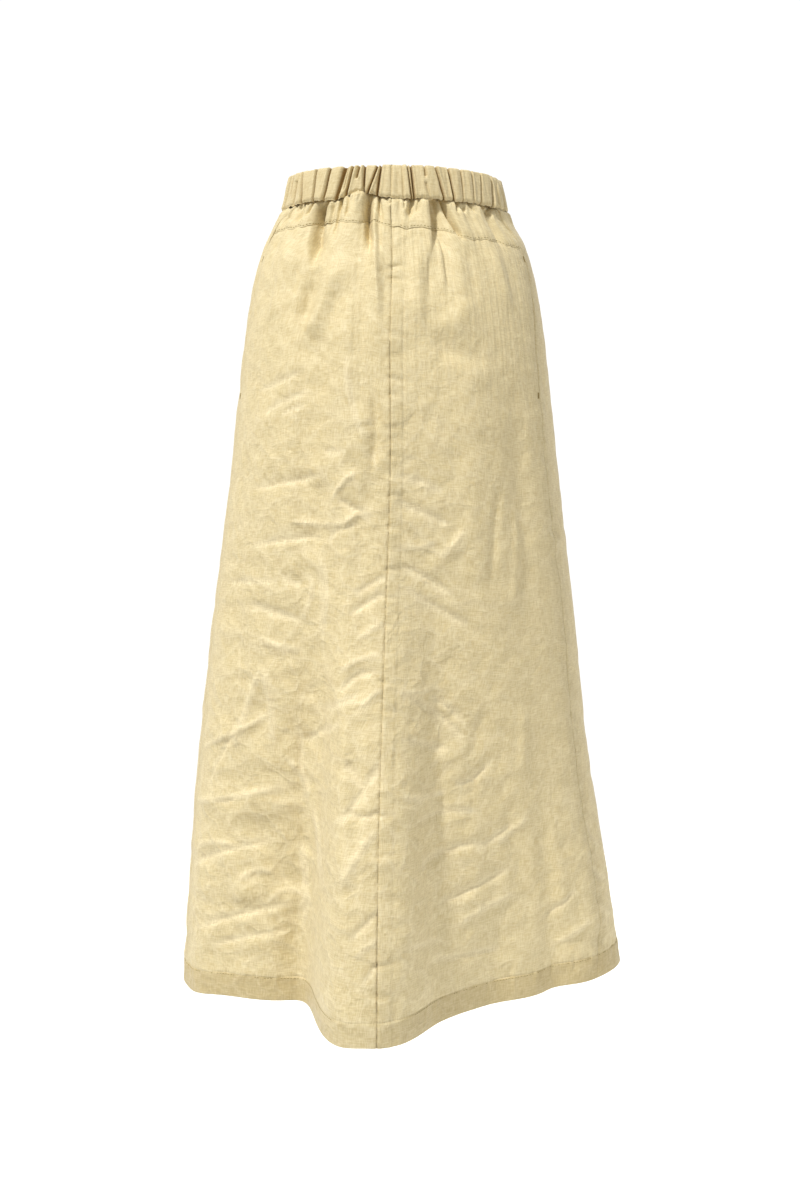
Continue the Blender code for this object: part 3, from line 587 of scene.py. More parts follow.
def clothReach(angle, drop):
    angle = np.asarray(angle, float)
    drop = np.broadcast_to(np.asarray(drop, float), angle.shape)
    shape = angle.shape
    angle = angle.ravel()
    drop = drop.ravel()
    reach = np.zeros(len(angle))
    for fold in allFolds:
        reach += foldReach(fold, angle, drop)
    for crease in gatherCreases:
        reach += crumple["gathers"] * creaseReach(crease, angle, drop, 1.7, crumple["gatherWidth"])
    for crease in allSoft:
        reach += crumple["softCreases"] * creaseReach(crease, angle, drop, 2.0, 1.0)
    for crease in allSharp:
        reach += crumple["creases"] * creaseReach(crease, angle, drop, 1.3, crumple["creaseWidth"])
    reach += dragLines(angle, drop)
    return reach.reshape(shape)


def seamPull(angle, drop):
    # how the middle seam draws the cloth beside it, and the seam allowance that shows through
    aside = (angle - seamAngle("back", drop)) * metresPerDegree(angle, drop)
    allowance = seam["allowance"]
    reach = np.where(
        (aside > 0) & (drop > 0.04),
        seam["showsThrough"] * (1 - eased((aside - allowance + 0.001) / 0.002)), 0.0,
    )
    crest = seam["crest"] * np.exp(-np.abs(aside) / seam["crestWidth"])
    reach = reach + crest * eased((drop - 0.06) / 0.09)
    for k, at in enumerate(seamPuckers["drops"]):
        length = seamPuckers["length"] * (0.75 + 0.5 * ((k * 7) % 5) / 4)
        tilt = 0.12 * aside * (1 if k % 3 else -1)
        lift = np.exp(-(((drop - at - tilt) / seamPuckers["halfHeight"]) ** 2))
        run = np.where(aside > 0, np.exp(-((aside / length) ** 2)), np.exp(-((aside / 0.004) ** 2)))
        reach = reach + seamPuckers["reach"] * (1.3 - 0.25 * (k % 4)) * lift * run
    return reach


# Band: a casing of cloth over elastic, gathered
band = {
    "puff": 0.0010,       # how far it swells between its edges
    "proud": 0.0006,
    "thick": 0.0034,      # outer to inner layer
    "seamTuck": 0.0016,   # how deep its lower edge turns in
    "tuckHeight": 0.0034,
    "clothTuck": 0.0017,  # how deep the cloth below turns in, and how soon it swells again
    "clothTuckHeight": 0.0012,
    "billow": 0.0024,     # how far the cloth swells between its gathers just below the seam
    "billowHeight": 0.0055,
    "grooves": 1.4,       # how much deeper and wider the folds are than their table says
    "grooveWidth": 1.0,
    "lips": 1.6,
    "swells": 0.0007,     # broad unevenness between the folds
    "notch": 0.0011,      # how far a groove dips the top edge
    "fineWrinkle": 0.00013,
}
seam = {
    "tuck": 0.0017,        # depth of the furrow along the middle seam
    "sideTuck": 0.0004,
    "pocketTuck": 0.0016,  # along the pocket mouths in the side seams
    "allowance": 0.0115,
    "showsThrough": 0.0007,
    "under": 0.0012,       # how far below the cloth an allowance lies
    "crest": 0.0045,       # how far the stiff seam stands up, and how far from it the cloth slopes
    "crestWidth": 0.024,
    "finelyCut": 0.0030,   # width beside a seam with its own narrow columns of points
    "furrowWidth": 0.0010,
    "pucker": 0.00018,     # small waves that the stitches draw beside the seams
    "puckerWidth": 0.006,
    "line": 0.65,          # how dark the painted shade in the seam's furrow is, and how wide
    "lineWidth": 0.0007,
    "allowanceShade": 0.12,
}
yoke = {"lap": 0.0005, "lapHeight": 0.0030, "turnedUnder": 0.007, "turnedShade": 0.15, "stitchDip": 0.0003}
pocket = {"top": 0.066, "bottom": 0.205, "tackDrops": (0.0675, 0.2035)}
hem = {
    "height": 0.025,
    "gap": 0.0011,          # between the cloth and its turn-up
    "proud": 0.0003,
    "stitchDip": 0.0005,
    "pucker": 0.0006,       # waves between the hem's stitches
    "puckerPitch": 0.0034,
    "shade": 0.66,          # painted shade: how much darker the hem's two layers look, as they let less light through
    "foldLighter": 0.62,    # and how much of that the standing fold's end loses, painted lighter as it faces the light
    "foldAngle": -9.0,
    "foldHalf": 9.0,
}
gatherPuckers = 0.0003      # fine unevenness of the cloth along a gathered seam


def bandReach(angle, share):
    angle = np.asarray(angle, float)
    share = np.broadcast_to(share, angle.shape)
    reach = np.zeros(angle.shape)
    for fold in allBandFolds:
        middle = fold.topAngle + (fold.seamAngle - fold.topAngle) * share
        aside = turned(angle - middle)
        fade = eased((share - fold.start + 0.08) / 0.08) * eased((fold.end + 0.12 - share) / 0.12)
        half = band["grooveWidth"] * fold.halfWidth
        groove = -band["grooves"] * fold.depth * np.exp(-(np.abs(aside / half) ** 1.5))
        lip = band["lips"] * fold.lip * np.exp(-(((aside - fold.lipSide * 2.1 * half) / (1.3 * half)) ** 2))
        reach = reach + fade * (groove + lip)
    ripple = np.sin(np.radians(angle) * 97 + 3 * share) + 0.7 * np.sin(np.radians(angle) * 151 - 4 * share)
    swells = np.sin(np.radians(angle) * 29 + 1.5 * np.sin(np.radians(angle) * 11))
    return reach + band["fineWrinkle"] * ripple + band["swells"] * swells


def bandPoint(angle, path):
    # path 0 is the seam outside, 1 the top edge and 2 the seam inside
    angle = np.asarray(angle, float)
    path = np.broadcast_to(path, angle.shape)
    outside = path <= 1.0
    height = np.where(outside, path, 2.0 - path)
    share = 1.0 - height
    reach = bandReach(angle, share)
    groove = np.clip(-reach / 0.003, 0.0, 1.0)
    top = ringDrop("top", angle) + band["notch"] * groove
    low = bandSeam(angle)
    length = low - top
    drop = top + length * share
    fromSeam = length * height
    fromTop = length * share
    swell = band["puff"] * np.sin(np.pi * np.clip(height, 0, 1)) ** 0.6
    tuck = band["seamTuck"] * (1 - eased(fromSeam / band["tuckHeight"]))
    roll = band["thick"] / 2
    round_ = np.sqrt(np.clip(1 - (1 - np.clip(fromTop / roll, 0, 1)) ** 2, 0, 1))
    outer = band["proud"] + swell - tuck - roll * (1 - round_) + reach
    inner = band["proud"] - band["thick"] - swell + tuck * 0.3 + roll * (1 - round_) + 0.8 * reach
    return place(angle, drop, np.where(outside, outer, inner))


def clothPoint(angle, drop, offset=0.0, crumples=None):
    reach = clothReach(angle, drop) + seamPull(angle, drop)
    if crumples is not None:
        reach = reach + crumples
    return place(angle, drop, reach + offset)


def furrow(distance, sides, angles, drops):
    # the dip of the cloth into a seam beside it, deeper where a pocket opens in a side seam
    start = seamAngle(sides[0], drops)
    end = seamAngle(sides[1], drops)
    onStart = np.abs(angles - start) < np.abs(end - angles)
    middle = np.where(onStart, sides[0] == "back", sides[1] == "back")
    mouth = eased((drops - pocket["top"]) / 0.006) * eased((pocket["bottom"] - drops) / 0.03)
    depth = np.where(middle, seam["tuck"], seam["sideTuck"] + (seam["pocketTuck"] - seam["sideTuck"]) * mouth)
    return -depth * np.exp(-((distance / seam["furrowWidth"]) ** 1.4))


def billow(angles, below):
    # soft swellings between the gathers that hang from the band's seam
    wave = 0.55 + 0.45 * np.sin(angles * 0.62 + 1.6 * np.sin(angles * 0.23)) + 0.25 * np.sin(angles * 1.7)
    height = band["billowHeight"]
    return band["billow"] * wave * (below / height) * np.exp(1 - np.maximum(below, 0.0) / height)


def tuckUnderBand(below):
    return -band["clothTuck"] * np.exp(-((np.maximum(below, 0) / band["clothTuckHeight"]) ** 1.5))


def gatheredEdge(angles):
    return gatherPuckers * np.sin(angles * 1.1 + np.sin(angles * 0.37) * 3)


def makeGrid(name, across, down):
    # a plain grid, whose points are then laid on the garment's form
    bpy.ops.object.select_all(action="DESELECT")
    bpy.ops.mesh.primitive_grid_add(x_subdivisions=across - 1, y_subdivisions=down - 1, size=1.0)
    piece = bpy.context.object
    piece.name = name
    piece.data.name = name
    return piece


def layOut(piece, points, cutWidths, paintedShade, creased, pressed):
    # points run from the lower left, row by row; the UV map is in metres of cloth
    rows, columns = points.shape[:2]
    mesh = piece.data
    mesh.vertices.foreach_set("co", points.reshape(-1).astype(np.float32))
    steps = np.linalg.norm(np.diff(points, axis=1), axis=2)
    run = np.concatenate([np.zeros((rows, 1)), np.cumsum(steps, axis=1)], axis=1)
    run = run / run[:, -1:] * cutWidths[:, None]
    middle = points[:, columns // 2]
    climb = np.concatenate([[0.0], np.cumsum(np.linalg.norm(np.diff(middle, axis=0), axis=1))])
    uv = np.stack([run, np.broadcast_to(climb[:, None], run.shape)], axis=-1).reshape(-1, 2)
    corners = np.empty(len(mesh.loops), np.int32)
    mesh.loops.foreach_get("vertex_index", corners)
    layer = mesh.uv_layers[0] if mesh.uv_layers else mesh.uv_layers.new(name="cloth")
    layer.name = "cloth"
    layer.data.foreach_set("uv", uv[corners].reshape(-1).astype(np.float32))
    # the first of these attributes is the share of painted shade at each point
    for name, values in (("paintedShade", paintedShade), ("creased", creased), ("pressed", pressed)):
        share = mesh.attributes.new(name, "FLOAT", "POINT")
        values = np.broadcast_to(values, (rows, columns))
        share.data.foreach_set("value", values.reshape(-1).astype(np.float32))
    mesh.shade_smooth()
    mesh.update()


def cutWidth(points, window=9):
    # the widths of a piece's rows, smoothed
    widths = np.linalg.norm(np.diff(points, axis=1), axis=2).sum(axis=1)
    padded = np.pad(widths, window, mode="edge")
    return np.convolve(padded, np.ones(2 * window + 1) / (2 * window + 1), mode="valid")


def finishPiece(piece, node, material):
    piece.data.materials.clear()
    piece.data.materials.append(material)
    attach(piece, "root")
    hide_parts(node)
    area = sum(face.area for face in piece.data.polygons)
    print(f"{piece.name}: {len(piece.data.polygons)} faces, {area:.4f} square metres of cloth")



def linear(hexColour):
    # an sRGB hex colour as the linear values that a shader takes
    values = [int(hexColour[k:k + 2], 16) / 255 for k in (1, 3, 5)]
    return [v / 12.92 if v <= 0.04045 else ((v + 0.055) / 1.055) ** 2.4 for v in values] + [1.0]


def addNode(tree, kind, settings=None, links=None):  # settings and links by name, or by a socket's number
    # a node's own settings are set first, because they decide which of its sockets are in use
    node = tree.nodes.new(kind)
    for name, value in sorted((settings or {}).items(), key=lambda item: not hasattr(node, str(item[0]))):
        if hasattr(node, str(name)):
            setattr(node, name, value)
        else:
            socketOf(node, name).default_value = value
    for name, source in (links or {}).items():
        tree.links.new(source, socketOf(node, name))
    return node


def socketOut(node, name):
    return next(socket for socket in node.outputs if socket.name == name and socket.enabled)


def socketOf(node, name):
    # an input in use, by its name or number; a mix node has three sets of the same names
    if isinstance(name, int):
        return node.inputs[name]
    return next(socket for socket in node.inputs if socket.name == name and socket.enabled)


linenLook = {
    "cloth": "#D6C594",       # washed yellow-beige linen, seen in plain daylight
    "pale": "#E9DBB3",
    "deep": "#B79E66",
    "paintedShadeTint": "#E8E2D3",  # painted shade, multiplied in where two layers keep the light from coming through, along seams and down in folds
    "threadPitch": 0.0010,    # drawn at about twice the real thread's, so that it shows
    "slubLength": 0.0100,
    "slubShare": 0.42,        # how much of the deep colour the thin places of the threads take
    "weaveRelief": 0.00018,
    "facets": 34.0,           # flat facets of about 3 cm, with sharp creases between
    "facetRelief": 0.0010,
    "crinkles": 44.0,         # softer ridges about 2 cm apart, with finer ones between
    "crinkleRelief": 0.0006,
    "wearAndCrestHighlight": 1.10,             # how pale the crests of creases are painted: partly worn, partly a painted highlight where they catch the light
    "grain": 400.0,           # specks of about 2.5 mm where the dye is worn
    "mottle": 105.0,          # and patches of about 1 cm
    "glow": 0.10,             # share of the light that comes through the cloth
    "roughness": 0.66,
    "gloss": 0.45,            # the flat threads of linen shine a little
}


def makeLinen(name, look):
    # plain-woven linen, garment-washed: uneven slubby threads both ways, a fine mottle where the dye has worn, pale
    # crests along its creases that are partly worn and partly a painted highlight, painted shade where layers lie
    # double, along seams and in folds, little gloss, and some light through one layer
    material = bpy.data.materials.new(name)
    material.use_nodes = True
    tree = material.node_tree
    tree.nodes.clear()
    uv = addNode(tree, "ShaderNodeUVMap", {"uv_map": "cloth"})
    onPiece = addNode(tree, "ShaderNodeTexCoord").outputs["Object"]
    acrossThreads = (1 / look["threadPitch"], 1 / look["slubLength"], 1.0)
    downThreads = (1 / look["slubLength"], 1 / look["threadPitch"], 1.0)
    warpMap = addNode(tree, "ShaderNodeMapping", {"Scale": acrossThreads}, {"Vector": uv.outputs["UV"]})
    weftMap = addNode(tree, "ShaderNodeMapping", {"Scale": downThreads}, {"Vector": uv.outputs["UV"]})
    threadNoise = {"Scale": 1.0, "Detail": 1.0, "Roughness": 0.5}
    warp = addNode(tree, "ShaderNodeTexNoise", threadNoise, {"Vector": warpMap.outputs["Vector"]})
    weft = addNode(tree, "ShaderNodeTexNoise", threadNoise, {"Vector": weftMap.outputs["Vector"]})
    threads = addNode(tree, "ShaderNodeMath", {"operation": "ADD"},
                      {0: warp.outputs["Fac"], 1: weft.outputs["Fac"]})
    thin = addNode(tree, "ShaderNodeMapRange", {"From Min": 0.80, "From Max": 1.22, "To Max": look["slubShare"]},
                   {"Value": threads.outputs["Value"]})
    grain = addNode(tree, "ShaderNodeTexNoise", {"Scale": look["grain"], "Detail": 4.0, "Roughness": 0.7},
                    {"Vector": onPiece})
    mottle = addNode(tree, "ShaderNodeTexNoise", {"Scale": look["mottle"], "Detail": 3.0, "Roughness": 0.6},
                     {"Vector": onPiece})
    bothGrains = addNode(tree, "ShaderNodeMix", {"data_type": "FLOAT", "Factor": 0.45},
                         {"A": grain.outputs["Fac"], "B": mottle.outputs["Fac"]})
    worn = addNode(tree, "ShaderNodeMapRange", {"From Min": 0.18, "From Max": 0.82},
                   {"Value": socketOut(bothGrains, "Result")})
    drift = addNode(tree, "ShaderNodeTexNoise", {"Scale": 30.0, "Detail": 1.0}, {"Vector": onPiece})
    bent = addNode(tree, "ShaderNodeVectorMath", {"operation": "MULTIPLY_ADD", 1: (0.02, 0.02, 0.02)},
                   {0: drift.outputs["Color"], 2: onPiece})
    facets = addNode(tree, "ShaderNodeTexVoronoi",
                     {"feature": "DISTANCE_TO_EDGE", "Scale": look["facets"], "Detail": 2.0, "Roughness": 0.6,
                      "Lacunarity": 2.3},
                     {"Vector": bent.outputs["Vector"]})
    creased = addNode(tree, "ShaderNodeAttribute", {"attribute_name": "creased"})
    # painted highlight and wear: paler along the facets' crests and the drawn creases
    crests = addNode(tree, "ShaderNodeMapRange",
                     {"From Min": 0.05, "From Max": 0.0, "To Max": 0.35 * look["wearAndCrestHighlight"]},
                     {"Value": facets.outputs["Distance"]})
    crestShare = addNode(tree, "ShaderNodeMath", {"operation": "MULTIPLY"},
                         {0: crests.outputs["Result"], 1: creased.outputs["Fac"]})
    pressed = addNode(tree, "ShaderNodeAttribute", {"attribute_name": "pressed"})
    wornAndLitLines = addNode(tree, "ShaderNodeMath", {"operation": "MULTIPLY_ADD", 1: look["wearAndCrestHighlight"]},
                        {0: pressed.outputs["Fac"], 2: crestShare.outputs["Value"]})
    paleShare = addNode(tree, "ShaderNodeMath", {"operation": "ADD", "use_clamp": True},
                        {0: worn.outputs["Result"], 1: wornAndLitLines.outputs["Value"]})
    dyed = addNode(tree, "ShaderNodeMix",
                   {"data_type": "RGBA", "A": linear(look["cloth"]), "B": linear(look["pale"])},
                   {"Factor": paleShare.outputs["Value"]})
    slubbed = addNode(tree, "ShaderNodeMix", {"data_type": "RGBA", "B": linear(look["deep"])},
                      {"Factor": thin.outputs["Result"], "A": socketOut(dyed, "Result")})
    # painted shade: the attribute's share multiplies the darker tint in, where layers lie double, along seams and
    # down in folds
    paintedShade = addNode(tree, "ShaderNodeAttribute", {"attribute_name": "paintedShade"})
    layers = addNode(tree, "ShaderNodeMix",
                     {"data_type": "RGBA", "blend_type": "MULTIPLY", "B": linear(look["paintedShadeTint"])},
                     {"Factor": paintedShade.outputs["Fac"], "A": socketOut(slubbed, "Result")})
    colour = socketOut(layers, "Result")
    weave = addNode(tree, "ShaderNodeBump", {"Strength": 0.7, "Distance": look["weaveRelief"]},
                    {"Height": threads.outputs["Value"]})
    flatter = addNode(tree, "ShaderNodeMapping", {"Scale": (1.0, 1.0, 1.2)}, {"Vector": onPiece})
    crinkles = addNode(tree, "ShaderNodeTexNoise",
                       {"noise_type": "RIDGED_MULTIFRACTAL", "Scale": look["crinkles"], "Detail": 4.0,
                        "Roughness": 0.5, "Offset": 0.9, "Gain": 1.3, "Distortion": 0.4},
                       {"Vector": flatter.outputs["Vector"]})
    height = addNode(tree, "ShaderNodeMath", {"operation": "MULTIPLY"},
                     {0: crinkles.outputs["Fac"], 1: creased.outputs["Fac"]})
    crinkled = addNode(tree, "ShaderNodeBump", {"Strength": 0.9, "Distance": look["crinkleRelief"]},
                       {"Height": height.outputs["Value"], "Normal": weave.outputs["Normal"]})
    facetRise = addNode(tree, "ShaderNodeMapRange", {"interpolation_type": "SMOOTHSTEP", "From Max": 0.22},
                        {"Value": facets.outputs["Distance"]})
    facetHeight = addNode(tree, "ShaderNodeMath", {"operation": "MULTIPLY"},
                          {0: facetRise.outputs["Result"], 1: creased.outputs["Fac"]})
    faceted = addNode(tree, "ShaderNodeBump", {"Strength": 1.0, "Distance": look["facetRelief"], "invert": True},
                      {"Height": facetHeight.outputs["Value"], "Normal": crinkled.outputs["Normal"]})
    shader = addNode(tree, "ShaderNodeBsdfPrincipled",
                     {"Roughness": look["roughness"], "Specular IOR Level": look["gloss"], "Sheen Weight": 0.10,
                      "Sheen Roughness": 0.5},
                     {"Base Color": colour, "Normal": faceted.outputs["Normal"]})
    through = addNode(tree, "ShaderNodeBsdfTranslucent", {}, {"Color": colour, "Normal": faceted.outputs["Normal"]})
    cloth = addNode(tree, "ShaderNodeMixShader", {"Fac": look["glow"]},
                    {1: shader.outputs["BSDF"], 2: through.outputs["BSDF"]})
    addNode(tree, "ShaderNodeOutputMaterial", {}, {"Surface": cloth.outputs["Shader"]})
    return material


def makeThread(name, dark, light):
    # polyester sewing thread, spun and matt, so it shows a soft twist and no shine; its colours are darker than the
    # cloth's, painted shade for the shadow where the stitches sink in
    material = bpy.data.materials.new(name)
    material.use_nodes = True
    tree = material.node_tree
    tree.nodes.clear()
    onPiece = addNode(tree, "ShaderNodeTexCoord").outputs["Object"]
    twist = addNode(tree, "ShaderNodeTexNoise", {"Scale": 900.0, "Detail": 1.0}, {"Vector": onPiece})
    shade = addNode(tree, "ShaderNodeMix", {"data_type": "RGBA", "A": linear(dark), "B": linear(light)},
                    {"Factor": twist.outputs["Fac"]})
    shader = addNode(tree, "ShaderNodeBsdfPrincipled", {"Roughness": 0.7}, {"Base Color": socketOut(shade, "Result")})
    addNode(tree, "ShaderNodeOutputMaterial", {}, {"Surface": shader.outputs["BSDF"]})
    return material


washedLinen = makeLinen("washedLinen", linenLook)
# the band: two layers over elastic, given a darker tint of painted shade, dark brown down in its folds where shade
# falls
bandLinen = makeLinen("washedLinenOfBand", {**linenLook, "glow": 0.04, "paintedShadeTint": "#B8A27C"})
# painted shade: the thread, the cloth's own colour, is drawn dark brown for the shadow in the stitch holes
threadWithPaintedShade = makeThread("spunThreadWithPaintedShade", "#836E3E", "#A08C55")
print("materials made")


def evenShares(sides, drop, count):
    # shares of the width that give columns of one width of cloth at a drop
    start = float(seamAngle(sides[0], drop))
    end = float(seamAngle(sides[1], drop))
    fine = np.linspace(0.0, 1.0, 1200)
    angle = start + (end - start) * fine
    reach = np.zeros(len(angle))
    for fold in largeFolds:
        reach += foldReach(fold, angle, np.full(len(angle), drop))
    points = place(angle, np.full(len(angle), drop), reach)
    run = np.concatenate([[0.0], np.cumsum(np.linalg.norm(np.diff(points, axis=0), axis=1))])
    return np.interp(np.linspace(0.0, run[-1], count), run, fine)


def panelColumns(sides, drop, count):
    # where the columns of points lie: a side to measure from, metres from it (or a share of the
    # whole width, in the middle), how deep the allowance lies, and 1 where it is turned back
    near = (0.0, 0.0005, 0.0011, 0.0019, 0.0030)
    turnedBack = ((seam["allowance"], -seam["under"] - 0.0003), (0.0060, -seam["under"] - 0.0002),
                  (0.0020, -seam["under"] - 0.0001), (0.0006, -seam["under"]))
    columns = [("start", d, depth, 1.0) for d, depth in turnedBack]
    columns += [("start", d, 0.0, 0.0) for d in near]
    columns += [("share", s, 0.0, 0.0) for s in evenShares(sides, drop, count)[1:-1]]
    columns += [("end", d, 0.0, 0.0) for d in reversed(near)]
    columns += [("end", d, depth, 1.0) for d, depth in reversed(turnedBack)]
    return columns


def columnAngles(columns, sides, drop):
    # angle of each column at the drops of its rows, and the distance to the nearest seam
    kinds = np.array([kind for kind, value, depth, under in columns])
    values = np.array([value for kind, value, depth, under in columns])
    start = seamAngle(sides[0], drop)
    end = seamAngle(sides[1], drop)
    startScale = metresPerDegree(start, drop)
    endScale = metresPerDegree(end, drop)
    first = start + seam["finelyCut"] / startScale
    last = end - seam["finelyCut"] / endScale
    angles = first + (last - first) * values
    angles = np.where(kinds == "start", start + values / startScale, angles)
    angles = np.where(kinds == "end", end - values / endScale, angles)
    nearest = np.minimum((angles - start) * startScale, (end - angles) * endScale)
    return angles, nearest


def layerNormals(angle, drop):
    # which way the cloth faces, from points close by on its own form
    step = 0.0006
    turn = step / metresPerDegree(angle, drop)
    right = clothPoint(angle + turn, drop) - clothPoint(angle - turn, drop)
    down = clothPoint(angle, drop + step) - clothPoint(angle, drop - step)
    normal = np.cross(down, right)
    return normal / np.linalg.norm(normal, axis=-1, keepdims=True)


def turnUnder(points, layer, angles, drops):
    # layers below the cloth, such as turn-ups and allowances, go straight in from its face
    below = layer < 0
    normals = layerNormals(angles[below], drops[below])
    points[below] += normals * layer[below][:, None]


panels = {
    "backColumns": 190,
    "frontColumns": 250,
    "upperStep": 0.0016,  # between rows where the cloth is gathered
    "lowerStep": 0.0026,
    "gatherEnd": 0.130,
    "hemDrop": 0.80,      # where the columns are spaced evenly, low on the body and on the yoke
    "yokeDrop": 0.03,
}


def bodyRows(toBand):
    # rows from the top seam down: a share of the way to the hem's top, or a height above the hem
    rows = [("tucked", -0.006, -0.0016), ("tucked", -0.003, -0.0014), ("tucked", -0.0005, -0.0012)]
    drop = 0.016 if toBand else 0.044
    top = drop
    stop = 0.790
    while drop < stop:
        rows.append(("body", (drop - top) / (stop - top), 0.0))
        spread = eased((drop - 0.09) / (panels["gatherEnd"] - 0.09))
        drop += panels["upperStep"] + (panels["lowerStep"] - panels["upperStep"]) * spread
    rows.append(("body", 1.0, 0.0))
    for height in (0.0275, 0.0263, 0.0256, 0.0250, 0.0244, 0.0237, 0.0225, 0.0205, 0.0180, 0.0155, 0.0130, 0.0105,
                   0.0080, 0.0055, 0.0035, 0.0018, 0.0008, 0.0002):
        rows.append(("hem", height, 0.0))
    rows.append(("hem", 0.0, -hem["gap"] * 0.5))
    for height in (0.0003, 0.0012, 0.0040, 0.0090, 0.0140, 0.0190, 0.0235, 0.0252):
        rows.append(("hem", height, -hem["gap"]))
    rows.append(("hem", 0.0256, -hem["gap"] * 1.3))
    rows.append(("hem", 0.0252, -hem["gap"] * 1.7))
    return rows


def bodyPanel(name, sides, count, toBand=False):
    columns = panelColumns(sides, panels["hemDrop"], count)
    rows = bodyRows(toBand)
    topSeam = bandSeam if toBand else yokeSeam
    kinds = np.array([row[0] for row in rows])[:, None]
    values = np.array([row[1] for row in rows])[:, None]
    drops = np.broadcast_to(np.where(kinds == "hem", 0.80, 0.044 + 0.74 * values * (kinds == "body")),
                            (len(rows), len(columns)))
    for attempt in range(3):
        angles, nearest = columnAngles(columns, sides, drops)
        upper = topSeam(angles)
        lower = ringDrop("hem", angles)
        drops = upper + (lower - 0.030 - upper) * values
        drops = np.where(kinds == "tucked", upper + values, drops)
        drops = np.where(kinds == "hem", lower - values, drops)
    under = np.array([c[3] for c in columns])[None, :]
    depth = np.array([c[2] for c in columns])[None, :]
    crumples = crumpled(angles, drops) * crumpleStrength(angles, drops)
    heightAboveHem = ringDrop("hem", angles) - drops
    belowTop = drops - topSeam(angles)
    isHem = np.array([r[0] == "hem" for r in rows])[:, None]
    turnUp = np.where(isHem, eased((0.0252 - heightAboveHem) / 0.0008), 0.0)
    stitchDip = -hem["stitchDip"] * np.exp(-(((heightAboveHem - hem["height"]) / 0.0009) ** 2))
    around = angles * metresPerDegree(angles, drops)
    pucker = hem["pucker"] * np.sin(around / hem["puckerPitch"] + 2 * np.sin(angles * 0.9))
    pucker = pucker * np.exp(-(((heightAboveHem - 0.0225) / 0.0080) ** 2))
    topTuck = -yoke["lap"] * np.exp(-((np.maximum(belowTop, 0) / yoke["lapHeight"]) ** 1.5))
    if toBand:
        topTuck = tuckUnderBand(belowTop) + billow(angles, belowTop) * (belowTop > 0)
    gatherPucker = gatheredEdge(angles) * np.exp(-((belowTop / 0.007) ** 2))
    side = np.where(under > 0, 0.0, furrow(np.maximum(nearest, 0.0), sides, angles, drops))
    sidePucker = seam["pucker"] * np.sin(drops * 230 + 3 * np.sin(drops * 61))
    sidePucker = sidePucker * np.exp(-((nearest / seam["puckerWidth"]) ** 2))
    extra = hem["proud"] * turnUp + stitchDip + pucker + topTuck + gatherPucker + side + sidePucker * (1 - under)
    points = clothPoint(angles, drops, extra, crumples * (1 - 0.7 * turnUp))
    turnUnder(points, np.array([row[2] for row in rows])[:, None] + depth, angles, drops)
    # painted shade: the hem's two layers darker, the standing fold's end less so as it faces the light, and darker
    # along the allowances and in the seam's furrow
    onFold = np.exp(-((turned(angles - hem["foldAngle"]) / hem["foldHalf"]) ** 2))
    seamFurrowShade = seam["line"] * np.exp(-((nearest / seam["lineWidth"]) ** 2)) * (1 - under)
    paintedShade = (hem["shade"] - hem["foldLighter"] * onFold) * turnUp
    paintedShade = np.clip(paintedShade + seam["allowanceShade"] * (nearest < seam["allowance"]) + seamFurrowShade, 0, 1)
    points = points[::-1]
    piece = makeGrid(name, len(columns), len(rows))
    pressed = pressedLines(angles, drops)
    layOut(piece, points, cutWidth(points), paintedShade[::-1], crumpleStrength(angles, drops)[::-1], pressed[::-1])
    return piece


def yokePanel(name, sides, count):
    columns = panelColumns(sides, panels["yokeDrop"], count)
    rows = [("under", -0.006, -0.0022), ("under", -0.003, -0.0020), ("under", -0.0005, -0.0016)]
    rows += [("share", s, 0.0) for s in np.linspace(0.0, 1.0, 34)[:-1]]
    rows += [("low", 0.0004, 0.0), ("low", 0.0, -0.0003), ("low", 0.0003, -0.0006)]
    rows += [("low", h, -0.0007) for h in (0.002, 0.0045, 0.007)]
    kinds = np.array([row[0] for row in rows])[:, None]
    values = np.array([row[1] for row in rows])[:, None]
    drops = np.full((len(rows), len(columns)), 0.030)
    for attempt in range(3):
        angles, nearest = columnAngles(columns, sides, drops)
        upper = bandSeam(angles)
        lower = yokeSeam(angles)
        drops = upper + (lower - upper - 0.0009) * values
        drops = np.where(kinds == "under", upper + values, drops)
        drops = np.where(kinds == "low", lower - values, drops)
    under = np.array([c[3] for c in columns])[None, :]
    depth = np.array([c[2] for c in columns])[None, :]
    belowBand = drops - bandSeam(angles)
    aboveYoke = yokeSeam(angles) - drops
    tuck = tuckUnderBand(belowBand) + billow(angles, belowBand) * (belowBand > 0) * eased(aboveYoke / 0.006)
    gatherPucker = gatheredEdge(angles) * np.exp(-((aboveYoke / 0.006) ** 2))
    stitchDip = -yoke["stitchDip"] * np.exp(-(((aboveYoke - 0.0016) / 0.0007) ** 2))
    side = np.where(under > 0, 0.0, furrow(np.maximum(nearest, 0.0), sides, angles, drops))
    points = clothPoint(angles, drops, tuck + gatherPucker + stitchDip + side)
    turnUnder(points, np.array([row[2] for row in rows])[:, None] + depth, angles, drops)
    # painted shade where the yoke's edge is turned under and two layers let less light through
    paintedShade = np.where(aboveYoke < yoke["turnedUnder"], yoke["turnedShade"], 0.0)
    points = points[::-1]
    piece = makeGrid(name, len(columns), len(rows))
    layOut(piece, points, cutWidth(points), paintedShade[::-1], 0.25, 0.0)
    return piece


